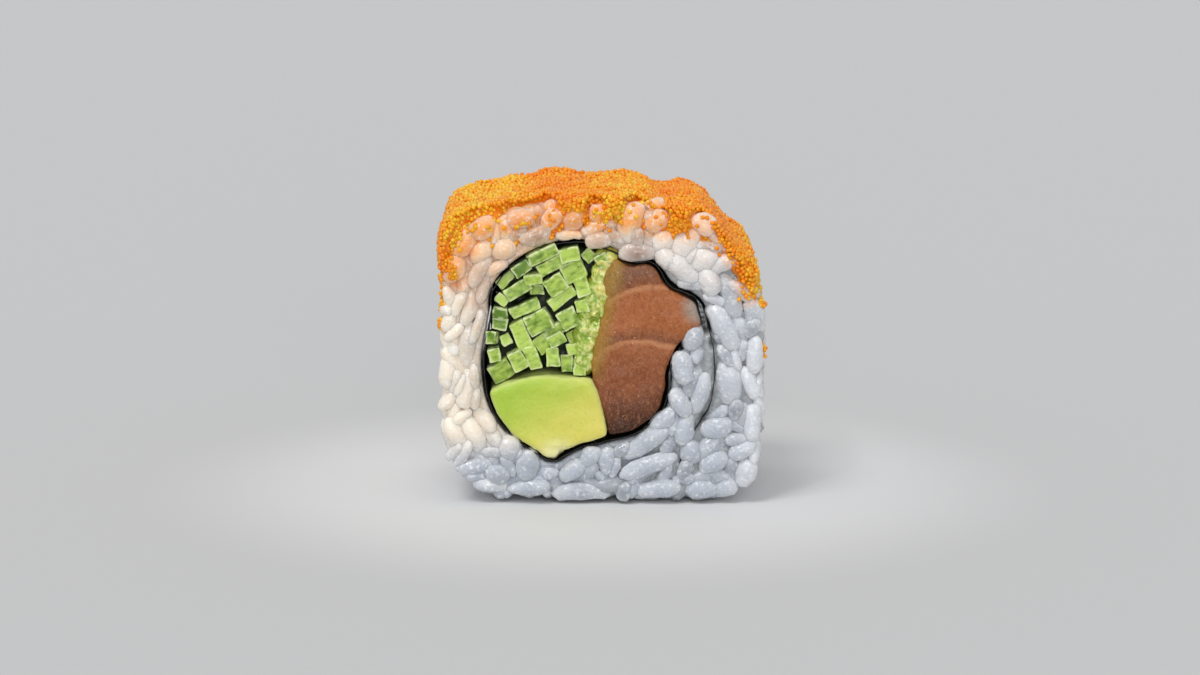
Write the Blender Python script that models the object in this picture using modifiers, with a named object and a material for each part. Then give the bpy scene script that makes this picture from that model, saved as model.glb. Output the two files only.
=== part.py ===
"""Uramaki roll: one piece cut from an inside-out sushi roll, standing on its flank.

The roll's axis runs along Y, and the cut face that shows looks towards -Y. Seen along the axis, a sheet of nori
winds clockwise once round the fillings and a fifth of a turn on into the rice. Inside it lie a block of fish, an
avocado wedge and a bundle of cucumber sticks. A blanket of fish roe covers the top. The origin is the middle of
the footprint, on the surface that the piece stands on. Lengths are in metres.
"""

import math
import random

import bmesh
import bpy
from mathutils import Matrix, Vector, noise

MM = 0.001
SEED = 11

# The whole piece.
HALF_WIDTH = 21.0 * MM
HALF_DEPTH = 13.5 * MM
HEIGHT = 39.4 * MM
GAP = 0.3 * MM

# The rice: a rounded square core with its own roundness in each corner, and grains on it.
CORE_HALF_WIDTH = 19.6 * MM
CORE_HALF_DEPTH = 12.5 * MM
CORE_BOTTOM = 0.8 * MM
CORE_TOP = 37.3 * MM
CORE_CENTRE_Z = (CORE_BOTTOM + CORE_TOP) / 2
CORE_HALF_HEIGHT = (CORE_TOP - CORE_BOTTOM) / 2
CORE_RIM = 1.4 * MM
CORE_SIDES = 72
ROUNDNESS = {
    (True, True): 3.0,
    (False, True): 4.6,
    (False, False): 4.0,
    (True, False): 5.2,
}
GRAIN_LENGTH = (5.6 * MM, 7.6 * MM)
GRAIN_WIDTH = (2.5 * MM, 3.1 * MM)
GRAIN_SPACING = 3.9 * MM
GRAIN_RISE = 0.15 * MM
SHEET_CLEARANCE = 1.7 * MM
END_CLEARANCE = 0.7 * MM
ROE_CLEARANCE = 1.4 * MM
RIM_CLEARANCE = 0.8 * MM
FOOT_DEPTH = 0.3 * MM

# The nori sheet's middle line: clockwise angle in degrees and radius in millimetres about the filling's centre.
FILLING_CENTRE = Vector((-1.5 * MM, 0, 19.7 * MM))
SHEET_THICKNESS = 0.4 * MM
SHEET_ROUTE = (
    (-3, 11.6),
    (8, 10.4),
    (20, 10.6),
    (36, 11.7),
    (57, 12.1),
    (78, 11.7),
    (98, 12.7),
    (108, 15.0),
    (119, 14.8),
    (146, 14.6),
    (172, 13.6),
    (198, 13.2),
    (213, 14.6),
    (240, 14.5),
    (264, 14.0),
    (280, 13.3),
    (294, 12.6),
    (304, 13.9),
    (320, 13.2),
    (335, 15.2),
    (348, 15.3),
    (366, 15.9),
    (384, 16.7),
    (396, 16.6),
    (406, 17.2),
    (412, 18.5),
)
FIRST_TURN_ENDS = 335
SHEET_STEP = 5
NORI_HALF_DEPTH = 13.2 * MM

# Where the fillings meet, in millimetres from the filling's centre.
FISH_SIDE = ((2.75, 12.1), (1.6, 9.4), (2.0, 6.2), (1.0, 3.0), (0.3, 0.0), (0.2, -3.6))
FISH_FOOT = ((0.2, -3.6), (1.2, -6.0), (2.0, -8.8), (2.3, -10.9))
AVOCADO_TOP = ((-12.55, -5.0), (-9.6, -3.8), (-6.4, -3.0), (-3.4, -3.2), (0.2, -3.6))
FISH_HALF_DEPTH = 12.9 * MM
AVOCADO_HALF_DEPTH = 13.1 * MM
CUT_EDGE = 0.25 * MM

# Cucumber sticks: middle across and up from the filling's centre, width and height in millimetres, tilt in degrees.
STICKS = (
    (-6.2, 12.4, 4.0, 1.5, 26),
    (-5.2, 11.0, 3.6, 1.7, 28),
    (-8.9, 10.4, 2.4, 1.7, 35),
    (-10.7, 8.8, 2.5, 1.4, 45),
    (-9.5, 7.6, 3.5, 1.6, 30),
    (-11.0, 6.4, 1.7, 1.3, -35),
    (-7.1, 9.3, 2.4, 1.4, 8),
    (-6.8, 7.6, 1.8, 1.4, 2),
    (-4.3, 8.6, 2.8, 2.5, 32),
    (-2.0, 10.2, 3.0, 2.7, 25),
    (-2.5, 12.5, 2.6, 1.9, 15),
    (-0.1, 12.1, 1.6, 1.8, 40),
    (1.4, 11.8, 1.7, 1.8, 30),
    (-3.4, 6.6, 3.9, 1.8, 35),
    (-8.2, 5.0, 4.0, 1.7, 24),
    (-6.3, 4.0, 3.4, 3.0, 27),
    (-11.4, 5.0, 1.9, 1.4, -8),
    (-11.5, 3.3, 2.0, 1.6, -5),
    (-8.8, 2.1, 2.0, 3.9, 22),
    (-12.0, 1.6, 1.5, 1.7, -5),
    (-10.8, 1.3, 1.5, 1.7, 30),
    (-12.1, -0.2, 1.6, 1.8, 8),
    (-11.3, -2.4, 2.9, 2.7, 30),
    (-9.2, -1.1, 2.2, 2.7, 27),
    (-7.2, -0.9, 1.7, 3.3, 20),
    (-6.1, 0.8, 2.2, 2.4, 37),
    (-4.3, 1.4, 2.3, 1.9, 30),
    (-4.7, 2.9, 3.1, 1.6, 30),
    (-2.9, 4.1, 2.5, 2.7, 30),
    (-0.9, 8.0, 1.8, 2.5, 20),
    (-0.8, 6.0, 1.8, 1.8, 15),
    (-1.5, 1.7, 1.8, 2.7, 30),
    (-4.6, -1.2, 1.8, 2.5, 3),
    (-2.9, -1.9, 1.7, 2.4, 3),
    (-1.1, -1.8, 1.6, 2.5, 0),
    (-2.2, 0.0, 1.5, 1.6, 10),
    (-0.5, 0.3, 1.4, 1.6, -10),
    (0.9, 6.3, 1.6, 1.6, 0),
    (-0.3, 4.0, 1.7, 1.7, 20),
    (0.4, 9.6, 1.5, 1.6, 10),
)
STICK_HALF_DEPTH = 12.9 * MM
STICK_DEPTH_SPREAD = 0.6 * MM
CUCUMBER_CORE_HALF_DEPTH = 10.6 * MM
CUCUMBER_CORE_SHARE = 1.15

# The roe blanket: it runs over the top between two angles of the outline and rounds off over both cut edges.
ROE_THICKNESS = 1.75 * MM
ROE_EDGE_THICKNESS = 0.9 * MM
ROE_TAPER = 14
ROE_START, ROE_END = 24, 151
ROE_RIM = 1.1 * MM
ROE_LAP = 0.1 * MM
ROE_STEP = 1.2 * MM
ROE_BUMP = 0.2 * MM
ROE_WAVE = 0.5 * MM
ROE_WAVE_LENGTH = 8.0 * MM
ROE_FACE_THICKNESS = 0.6 * MM
# Tongues of roe over a cut edge: angle on the outline in degrees, length in millimetres, half width in degrees.
FRONT_TONGUES = ((38, 0.5, 5), (57, 0.9, 4), (84, 0.7, 4), (112, 0.8, 4), (126, 1.3, 4), (140, 0.6, 5))
BACK_TONGUES = ((40, 0.9, 5), (71, 1.4, 5), (97, 0.6, 4), (122, 1.5, 5), (142, 0.9, 4))
# Loose clumps on the flanks: angle on the outline in degrees, place along the axis and radius in millimetres.
CLUMPS = (
    (157, -8.0, 1.5),
    (163, -10.2, 1.2),
    (171, -9.4, 1.0),
    (168, 3.5, 1.3),
    (17, -9.0, 1.1),
    (2, -9.8, 1.0),
    (12, 5.0, 1.2),
)


def material(name, colour, roughness):
    """A plain food material."""
    made = bpy.data.materials.new(name)
    made.use_nodes = True
    shader = made.node_tree.nodes["Principled BSDF"]
    shader.inputs["Base Color"].default_value = (*colour, 1.0)
    shader.inputs["Roughness"].default_value = roughness
    shader.inputs["Metallic"].default_value = 0.0
    return made


def collection(name, parent):
    """A new collection inside another."""
    made = bpy.data.collections.new(name)
    parent.children.link(made)
    return made


def add_object(name, mesh, target, finish=None):
    """Puts a mesh in a collection as a named object."""
    made = bpy.data.objects.new(name, mesh)
    target.objects.link(made)
    if finish:
        made.data.materials.append(finish)
    return made


def bake(obj):
    """Applies an object's modifiers to its mesh and gives the object the result."""
    graph = bpy.context.evaluated_depsgraph_get()
    mesh = bpy.data.meshes.new_from_object(obj.evaluated_get(graph))
    obj.modifiers.clear()
    obj.data = mesh


def weld(mesh):
    """Joins a curve's caps to its sides, and makes each cap one face."""
    shape = bmesh.new()
    shape.from_mesh(mesh)
    bmesh.ops.remove_doubles(shape, verts=shape.verts, dist=0.01 * MM)
    bmesh.ops.dissolve_limit(shape, angle_limit=0.001, verts=shape.verts, edges=shape.edges)
    shape.to_mesh(mesh)
    shape.free()


def flat_curve(name, points, half_depth, closed):
    """A 2D curve through points of the XZ plane, extruded along Y."""
    curve = bpy.data.curves.new(name, "CURVE")
    curve.dimensions = "2D"
    curve.fill_mode = "BOTH" if closed else "NONE"
    curve.extrude = half_depth
    spline = curve.splines.new("POLY")
    spline.points.add(len(points) - 1)
    for target, point in zip(spline.points, points):
        target.co = (point.x, point.z, 0, 1)
    spline.use_cyclic_u = closed
    return curve


def prism(name, points, half_depth, target, finish=None, edge=0.0):
    """A closed outline of the XZ plane, extruded along Y, with its cut edges eased by a bevel."""
    guide = add_object(name + "_outline", flat_curve(name, points, half_depth, closed=True), target)
    guide.rotation_euler = (math.radians(90), 0, 0)
    bpy.context.view_layer.update()
    mesh = bpy.data.meshes.new_from_object(guide.evaluated_get(bpy.context.evaluated_depsgraph_get()))
    mesh.transform(guide.matrix_world)
    bpy.data.objects.remove(guide)
    weld(mesh)
    made = add_object(name, mesh, target, finish)
    if edge:
        bevel = made.modifiers.new("cut_edge", "BEVEL")
        bevel.width = edge
        bevel.segments = 1
        bevel.angle_limit = math.radians(60)
    return made


def smooth_line(points, step=6):
    """A Catmull-Rom curve through points, with a few points for each stretch."""
    ends = [2 * points[0] - points[1], *points, 2 * points[-1] - points[-2]]
    line = []
    for a, b, c, d in zip(ends, ends[1:], ends[2:], ends[3:]):
        for i in range(step):
            t = i / step
            bend = (2 * a - 5 * b + 4 * c - d) * t**2 + (3 * b - a - 3 * c + d) * t**3
            line.append(0.5 * (2 * b + (c - a) * t + bend))
    return [*line, points[-1]]


def from_filling(across, up):
    """A point given in millimetres from the filling's centre."""
    return FILLING_CENTRE + Vector((across * MM, 0, up * MM))


def sheet_point(angle):
    """A point of the nori's middle line, at a clockwise angle in degrees."""
    knots = [Vector((a, r, 0)) for a, r in SHEET_ROUTE]
    line = smooth_line(knots, step=8)
    after = next(i for i, p in enumerate(line) if p.x >= angle - 1e-6 and i > 0)
    low, high = line[after - 1], line[after]
    radius = low.y + (high.y - low.y) * (angle - low.x) / (high.x - low.x)
    turn = -math.radians(angle)
    return from_filling(radius * math.cos(turn), radius * math.sin(turn))


def sheet_line(start, end):
    """Points of the nori's middle line between two clockwise angles."""
    steps = max(1, round(abs(end - start) / SHEET_STEP))
    return [sheet_point(start + (end - start) * i / steps) for i in range(steps + 1)]


def offset(points, distance):
    """A closed clockwise or anticlockwise outline, grown by a distance, or shrunk by a negative one."""
    area = sum(p.x * q.z - q.x * p.z for p, q in zip(points, points[1:] + points[:1]))
    side = distance if area > 0 else -distance
    moved = []
    for before, point, after in zip(points[-1:] + points[:-1], points, points[1:] + points[:1]):
        first, second = (point - before).normalized(), (after - point).normalized()
        normal = Vector((first.z + second.z, 0, -first.x - second.x)).normalized()
        share = max(0.5, math.sqrt((1 + first.dot(second)) / 2))
        moved.append(point + normal * (side / share))
    return moved


def outline_point(angle, grow=0.0):
    """A point of the rice core's outline, at an angle in degrees about its centre, grown by a distance."""
    turn = math.radians(angle)
    across, up = math.cos(turn), math.sin(turn)
    power = ROUNDNESS[across >= 0, up >= 0]
    wide, high = CORE_HALF_WIDTH + grow, CORE_HALF_HEIGHT + grow
    radius = ((abs(across) / wide) ** power + (abs(up) / high) ** power) ** (-1 / power)
    return Vector((radius * across, 0, CORE_CENTRE_Z + radius * up))


def inside(point, outline):
    """Whether a point of the XZ plane lies inside a closed outline."""
    crossings = 0
    for p, q in zip(outline, outline[1:] + outline[:1]):
        if (p.z > point.z) != (q.z > point.z):
            crossings += point.x < p.x + (q.x - p.x) * (point.z - p.z) / (q.z - p.z)
    return crossings % 2 == 1


def distance_to(point, line):
    """How far a point of the XZ plane lies from the nearest point of a line."""
    return min((Vector((point.x, 0, point.z)) - p).length for p in line)


def filling_outline():
    """The line round all the fillings: the nori's first turn, closed where the fish shows past its inner end."""
    corner = [from_filling(15.0 * math.cos(t), 15.0 * math.sin(t)) for t in (0.33, 0.22)]
    return sheet_line(SHEET_ROUTE[0][0], FIRST_TURN_ENDS) + corner


def filling_shapes():
    """Outlines of the fish, the avocado and the cucumber's room, each clear of the nori and of its neighbours."""
    inner = offset(filling_outline(), -(SHEET_THICKNESS / 2 + GAP))
    side = smooth_line([from_filling(*p) for p in FISH_SIDE])
    foot = smooth_line([from_filling(*p) for p in FISH_FOOT])
    top = smooth_line([from_filling(*p) for p in AVOCADO_TOP])
    centre = FILLING_CENTRE

    def clockwise(point):
        return math.degrees(math.atan2(centre.z - point.z, point.x - centre.x)) % 360

    def arc(start, end):
        """Points of the inner line between two clockwise angles, from start to end."""
        span = (end - start) % 360
        chosen = [(((clockwise(p) - start) % 360), p) for p in inner]
        return [p for turn, p in sorted(chosen, key=lambda pair: pair[0]) if 3 < turn < span - 3]

    fish = arc(clockwise(side[0]), clockwise(foot[-1])) + foot[:0:-1] + side[::-1]
    avocado = arc(clockwise(foot[-1]), clockwise(top[0])) + top + foot[1:]
    cucumber = arc(clockwise(top[0]), clockwise(side[0])) + side + top[-2::-1]
    return [offset(shape, -GAP / 2) for shape in (fish, avocado, cucumber)]


def make_sheet(name, start, half_depth, thickness, target, finish=None):
    """A sheet that follows the nori's middle line from a clockwise angle to its end."""
    line = sheet_line(start, SHEET_ROUTE[-1][0])
    guide = add_object(name + "_line", flat_curve(name, line, half_depth, closed=False), target)
    guide.rotation_euler = (math.radians(90), 0, 0)
    bpy.context.view_layer.update()
    mesh = bpy.data.meshes.new_from_object(guide.evaluated_get(bpy.context.evaluated_depsgraph_get()))
    mesh.transform(guide.matrix_world)
    bpy.data.objects.remove(guide)
    sheet = add_object(name, mesh, target, finish)
    thick = sheet.modifiers.new("thickness", "SOLIDIFY")
    thick.thickness = thickness
    thick.offset = 0
    return sheet


def make_nori(target):
    """The nori, from its end inside the fillings to its end in the rice."""
    finish = material("nori", (0.012, 0.018, 0.012), 0.45)
    return make_sheet("nori", SHEET_ROUTE[0][0], NORI_HALF_DEPTH, SHEET_THICKNESS, target, finish)


def make_fish(outline, target):
    """The block of fish on the right."""
    finish = material("fish", (0.36, 0.14, 0.06), 0.4)
    return prism("fish", outline, FISH_HALF_DEPTH, target, finish, CUT_EDGE)


def make_avocado(outline, target):
    """The avocado wedge at the lower left."""
    finish = material("avocado", (0.5, 0.58, 0.09), 0.45)
    return prism("avocado", outline, AVOCADO_HALF_DEPTH, target, finish, CUT_EDGE)


def make_cucumber(room, target, scrap):
    """The cucumber sticks, each from cut face to cut face, joined by a core that lies back from both."""
    draw = random.Random(SEED)
    finish = material("cucumber", (0.3, 0.5, 0.11), 0.4)
    middle = sum(room, Vector()) / len(room)
    core = [middle.lerp(point, CUCUMBER_CORE_SHARE) for point in room]
    bundle = prism("cucumber", core, CUCUMBER_CORE_HALF_DEPTH, target, finish)
    sticks = collection("sticks", scrap)
    for index, (across, up, width, height, tilt) in enumerate(STICKS):
        mesh = bpy.data.meshes.new("stick")
        shape = bmesh.new()
        bmesh.ops.create_cube(shape, size=1)
        ends = [STICK_HALF_DEPTH - draw.uniform(0, STICK_DEPTH_SPREAD) for _ in range(2)]
        place = Matrix.Translation(from_filling(across, up) + Vector((0, (ends[1] - ends[0]) / 2, 0)))
        turn = Matrix.Rotation(-math.radians(tilt), 4, "Y")
        size = Matrix.Diagonal((width * MM, sum(ends), height * MM, 1))
        bmesh.ops.transform(shape, matrix=place @ turn @ size, verts=shape.verts)
        shape.to_mesh(mesh)
        shape.free()
        add_object(f"stick_{index + 1:02d}", mesh, sticks)
    join(bundle, sticks)
    limit = prism("cucumber_room", room, HALF_DEPTH, scrap)
    cut(bundle, limit, "INTERSECT")
    keep_largest(bundle)
    return bundle


def join(obj, pieces):
    """Fuses every object of a collection onto an object, and removes them."""
    union = obj.modifiers.new("fuse", "BOOLEAN")
    union.operation = "UNION"
    union.operand_type = "COLLECTION"
    union.collection = pieces
    union.solver = "EXACT"
    bake(obj)
    for piece in list(pieces.objects):
        bpy.data.objects.remove(piece)


def cut(obj, cutter, operation="DIFFERENCE"):
    """Cuts an object by another, or keeps what they share, and removes the cutter."""
    boolean = obj.modifiers.new("cut", "BOOLEAN")
    boolean.operation = operation
    boolean.object = cutter
    boolean.solver = "EXACT"
    bake(obj)
    bpy.data.objects.remove(cutter)


def keep_largest(obj):
    """Drops loose scraps and fills sealed hollows, so that one closed body is left."""
    shape = bmesh.new()
    shape.from_mesh(obj.data)
    bmesh.ops.triangulate(shape, faces=shape.faces)
    unseen, islands = set(shape.verts), []
    while unseen:
        island, edge = set(), [unseen.pop()]
        while edge:
            vert = edge.pop()
            island.add(vert)
            for link in vert.link_edges:
                other = link.other_vert(vert)
                if other in unseen:
                    unseen.discard(other)
                    edge.append(other)
        islands.append(island)
    largest = max(islands, key=len)
    bmesh.ops.delete(shape, geom=[v for v in shape.verts if v not in largest], context="VERTS")
    shape.to_mesh(obj.data)
    shape.free()


def grain_mesh(length, width):
    """A grain of cooked rice along Z: a five-sided spindle with full shoulders."""
    mesh = bpy.data.meshes.new("grain")
    shape = bmesh.new()
    bmesh.ops.create_uvsphere(shape, u_segments=5, v_segments=4, radius=0.5)
    for vert in shape.verts:
        is_shoulder = 0.2 < abs(vert.co.z) < 0.45
        girth = width * (1.15 if is_shoulder else 1.0)
        reach = length * (1.18 if is_shoulder else 1.0)
        vert.co = Vector((vert.co.x * girth, vert.co.y * girth * 0.85, vert.co.z * reach))
    shape.to_mesh(mesh)
    shape.free()
    return mesh


def meets_roe(point):
    """Whether a point outside the core lies in the roe's room."""
    middle = Vector((0, 0, CORE_CENTRE_Z))
    across = Vector((point.x, 0, point.z)) - middle
    angle = math.degrees(math.atan2(across.z, across.x)) % 360
    inset = (outline_point(angle) - middle).length - across.length
    on_face = abs(point.y) > CORE_HALF_DEPTH - GAP
    if not ROE_START - 1.5 < angle < ROE_END + 1.5 or not (on_face or inset < GAP):
        return False
    return inset < lap_length(angle, point.y < 0) + ROE_CLEARANCE


def face_spots(draw):
    """Places for grains on a cut face, spread evenly between the nori and the outer edge."""
    hole = offset(filling_outline(), SHEET_THICKNESS / 2 + GAP)
    sheet = sheet_line(SHEET_ROUTE[0][0], SHEET_ROUTE[-1][0])
    spots = []
    for _ in range(9000):
        angle = draw.uniform(0, 360)
        inset = draw.uniform(RIM_CLEARANCE, 13 * MM)
        middle = Vector((0, 0, CORE_CENTRE_Z))
        edge = outline_point(angle) - middle
        point = middle + edge * (1 - inset / edge.length)
        clear = not inside(point, hole) and distance_to(point, sheet) > SHEET_CLEARANCE
        apart = all((point - other).length > GRAIN_SPACING for other in spots)
        if clear and apart:
            spots.append(point)
    return spots


def flank_spots(draw):
    """Places for grains round the flanks: points with the outward direction."""
    spots = []
    for _ in range(9000):
        angle = draw.uniform(0, 360)
        along = draw.uniform(1.2 * MM - CORE_HALF_DEPTH, CORE_HALF_DEPTH - 1.2 * MM)
        point = outline_point(angle) + Vector((0, along, 0))
        apart = all((point - other).length > GRAIN_SPACING for other, _ in spots)
        if apart and not ROE_START < angle < ROE_END:
            outward = outline_point(angle + 1) - outline_point(angle - 1)
            spots.append((point, Vector((outward.z, 0, -outward.x)).normalized()))
    return spots


def grain_clear(mesh, sheet):
    """Whether a grain stays off the nori and the roe."""
    return all(distance_to(v.co, sheet) > END_CLEARANCE and not meets_roe(v.co) for v in mesh.vertices)


def press_in(mesh):
    """Moves a grain back where it would stick out past the mat's or the knife's side."""
    for axis, limit in ((0, HALF_WIDTH), (1, HALF_DEPTH)):
        high = max(vert.co[axis] for vert in mesh.vertices) - limit
        low = min(vert.co[axis] for vert in mesh.vertices) + limit
        shift = Vector()
        shift[axis] = -max(high, 0) - min(low, 0)
        mesh.transform(Matrix.Translation(shift))
    lowest = min(vert.co.z for vert in mesh.vertices)
    mesh.transform(Matrix.Translation((0, 0, max(0, -FOOT_DEPTH - lowest))))


def place_grain(draw, point, outward, sheet, target):
    """Lays one grain where it crosses nothing: along the surface or, where it has no room, nearly end-on."""
    lie = outward.to_track_quat("X", "Z").to_matrix().to_4x4()
    for attempt in range(16):
        flat = attempt < 12
        length = draw.uniform(*GRAIN_LENGTH) if flat else 1.2 * GRAIN_WIDTH[0]
        steepest = 25 if flat else 60
        spin = Matrix.Rotation(draw.uniform(0, math.tau), 4, "X")
        tilt = Matrix.Rotation(math.radians(draw.uniform(-steepest, steepest)), 4, "Y")
        mesh = grain_mesh(length, draw.uniform(*GRAIN_WIDTH))
        mesh.transform(Matrix.Translation(point - outward * GRAIN_RISE) @ lie @ spin @ tilt)
        press_in(mesh)
        if grain_clear(mesh, sheet):
            add_object("grain", mesh, target)
            return


def make_clump(angle, along, radius, target):
    """A small clump of roe fused onto a flank."""
    mesh = bpy.data.meshes.new("clump")
    shape = bmesh.new()
    bmesh.ops.create_icosphere(shape, subdivisions=1, radius=radius * MM)
    place = outline_point(angle) + Vector((0, along * MM, 0))
    bmesh.ops.translate(shape, vec=place, verts=shape.verts)
    shape.to_mesh(mesh)
    shape.free()
    add_object("clump", mesh, target)


def core_block(name, grow, target, finish=None, rim=CORE_RIM, half_depth=CORE_HALF_DEPTH):
    """The rice core's rounded block, grown by a distance."""
    points = [outline_point(360 * i / CORE_SIDES, grow) for i in range(CORE_SIDES)]
    block = prism(name, points, half_depth + grow, target, finish, rim)
    bake(block)
    return block


def make_rice(target, scrap):
    """The rice: the core with its grains fused on, cut open for the fillings and for the nori's tail."""
    draw = random.Random(SEED)
    rice = core_block("rice", 0, target, material("rice", (0.8, 0.78, 0.74), 0.4))
    grains = collection("grains", scrap)
    sheet = sheet_line(SHEET_ROUTE[0][0], SHEET_ROUTE[-1][0])
    for outward in (Vector((0, -1, 0)), Vector((0, 1, 0))):
        for spot in face_spots(draw):
            place_grain(draw, spot + outward * CORE_HALF_DEPTH, outward, sheet, grains)
    for spot, outward in flank_spots(draw):
        place_grain(draw, spot, outward, sheet, grains)
    for clump in CLUMPS:
        make_clump(*clump, grains)
    join(rice, grains)
    hole = prism("hole", offset(filling_outline(), SHEET_THICKNESS / 2 + GAP), 2 * HALF_DEPTH, scrap)
    cut(rice, hole)
    slot = make_sheet("slot", FIRST_TURN_ENDS - 8, 2 * HALF_DEPTH, SHEET_THICKNESS + 2 * GAP, scrap)
    bake(slot)
    cut(rice, slot)
    cut(rice, ground(scrap))
    keep_largest(rice)
    return rice


def ground(target):
    """A block below the surface that the piece stands on, which presses its lowest grains flat."""
    mesh = bpy.data.meshes.new("ground")
    shape = bmesh.new()
    bmesh.ops.create_cube(shape, size=1)
    size = Matrix.Diagonal((4 * HALF_WIDTH, 4 * HALF_DEPTH, HEIGHT, 1))
    bmesh.ops.transform(shape, matrix=Matrix.Translation((0, 0, -HEIGHT / 2)) @ size, verts=shape.verts)
    shape.to_mesh(mesh)
    shape.free()
    return add_object("ground", mesh, target)


def lap_length(angle, front):
    """How far the roe laps down a cut face at an angle of the outline."""
    length = ROE_LAP
    for middle, reach, half_width in FRONT_TONGUES if front else BACK_TONGUES:
        length += reach * MM * math.exp(-(((angle - middle) / half_width) ** 2))
    return length


def roe_surface(angle, share):
    """A point of the roe's outer surface: share runs from -1, the front lap's edge, to 1, the back lap's edge."""
    front = share < 0
    straight = CORE_HALF_DEPTH + GAP + ROE_FACE_THICKNESS - ROE_RIM
    bend = ROE_RIM * math.pi / 2
    reach = abs(share) * (straight + bend + lap_length(angle, front))
    if reach < straight:
        along, inset = reach, 0.0
    elif reach < straight + bend:
        turn = (reach - straight) / ROE_RIM
        along, inset = straight + ROE_RIM * math.sin(turn), ROE_RIM * (1 - math.cos(turn))
    else:
        along, inset = straight + ROE_RIM, ROE_RIM + reach - straight - bend
    taper = min(1.0, min(angle - ROE_START, ROE_END - angle) / ROE_TAPER)
    thickness = ROE_EDGE_THICKNESS + (ROE_THICKNESS - ROE_EDGE_THICKNESS) * taper * (2 - taper)
    middle = Vector((0, 0, CORE_CENTRE_Z))
    edge = outline_point(angle, GAP + thickness) - middle
    point = middle + edge * (1 - inset / edge.length) + Vector((0, -along if front else along, 0))
    facing = min(1.0, inset / ROE_RIM)
    outward = edge.normalized() * (1 - facing) + Vector((0, -1 if front else 1, 0)) * facing
    return point, outward.normalized()


def make_roe(target, scrap):
    """The roe blanket: a lumpy outer surface closed to the roll's centre, less the rice that it lies on."""
    draw = random.Random(SEED)
    columns = round(math.radians(ROE_END - ROE_START) * 20 * MM / ROE_STEP)
    rows = round((2 * CORE_HALF_DEPTH + 6 * MM) / ROE_STEP)
    mesh = bpy.data.meshes.new("roe")
    shape = bmesh.new()
    grid = []
    for i in range(columns + 1):
        line = []
        for j in range(rows + 1):
            angle = ROE_START + (ROE_END - ROE_START) * i / columns
            bump = draw.uniform(0.3, 1) if (i + j) % 2 else draw.uniform(-1, -0.3)
            point, outward = roe_surface(angle, 2 * j / rows - 1)
            wave = noise.noise(point / ROE_WAVE_LENGTH)
            line.append(shape.verts.new(point + outward * (ROE_BUMP * bump + ROE_WAVE * wave)))
        grid.append(line)
    for i in range(columns):
        for j in range(rows):
            shape.faces.new((grid[i][j], grid[i][j + 1], grid[i + 1][j + 1], grid[i + 1][j]))
    centre = shape.verts.new((0, 0, CORE_CENTRE_Z))
    for edge in [e for e in shape.edges if e.is_boundary]:
        shape.faces.new((*edge.verts, centre))
    bmesh.ops.recalc_face_normals(shape, faces=shape.faces)
    bmesh.ops.triangulate(shape, faces=shape.faces)
    shape.to_mesh(mesh)
    shape.free()
    roe = add_object("roe", mesh, target, material("roe", (0.9, 0.35, 0.03), 0.3))
    cut(roe, core_block("roe_bed", GAP, scrap))
    keep_largest(roe)
    return roe


def centre_footprint(nodes):
    """Moves the whole piece so that the origin is the middle of its footprint."""
    bpy.context.view_layer.update()
    graph = bpy.context.evaluated_depsgraph_get()
    points = [vert.co for node in nodes for vert in node.evaluated_get(graph).data.vertices]
    low = [min(point[axis] for point in points) for axis in range(3)]
    high = [max(point[axis] for point in points) for axis in range(3)]
    shift = Vector((-(low[0] + high[0]) / 2, -(low[1] + high[1]) / 2, -low[2]))
    for node in nodes:
        node.data.transform(Matrix.Translation(shift))


def main():
    """Builds the six nodes and sets them on the ground."""
    for obj in list(bpy.data.objects):
        bpy.data.objects.remove(obj)
    roll = collection("uramaki_roll", bpy.context.scene.collection)
    scrap = collection("cutters", bpy.context.scene.collection)
    fish, avocado, cucumber = filling_shapes()
    make_rice(roll, scrap)
    make_nori(roll)
    make_fish(fish, roll)
    make_avocado(avocado, roll)
    make_cucumber(cucumber, roll, scrap)
    make_roe(roll, scrap)
    bpy.data.collections.remove(scrap)
    centre_footprint(list(roll.objects))


if __name__ == "__main__":
    main()
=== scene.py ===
"""Looks of the uramaki roll: one piece cut from an inside-out roll, standing on its flank.

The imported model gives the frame: x runs to the right of the cut face, y along the roll away from the
camera and z up from the surface that the piece stands on. Separate grains of rice, eggs of roe and sticks
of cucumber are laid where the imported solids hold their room. The finishes follow Object coordinates, or
values that the meshes carry.
"""

import logging
import math
import random
from collections import defaultdict
from dataclasses import dataclass, field
from enum import Enum
from typing import Callable, Iterator, Optional, Sequence, Union

import bpy
import numpy as np
from mathutils import Matrix, Vector, noise
from mathutils.bvhtree import BVHTree
from mathutils.kdtree import KDTree


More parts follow.
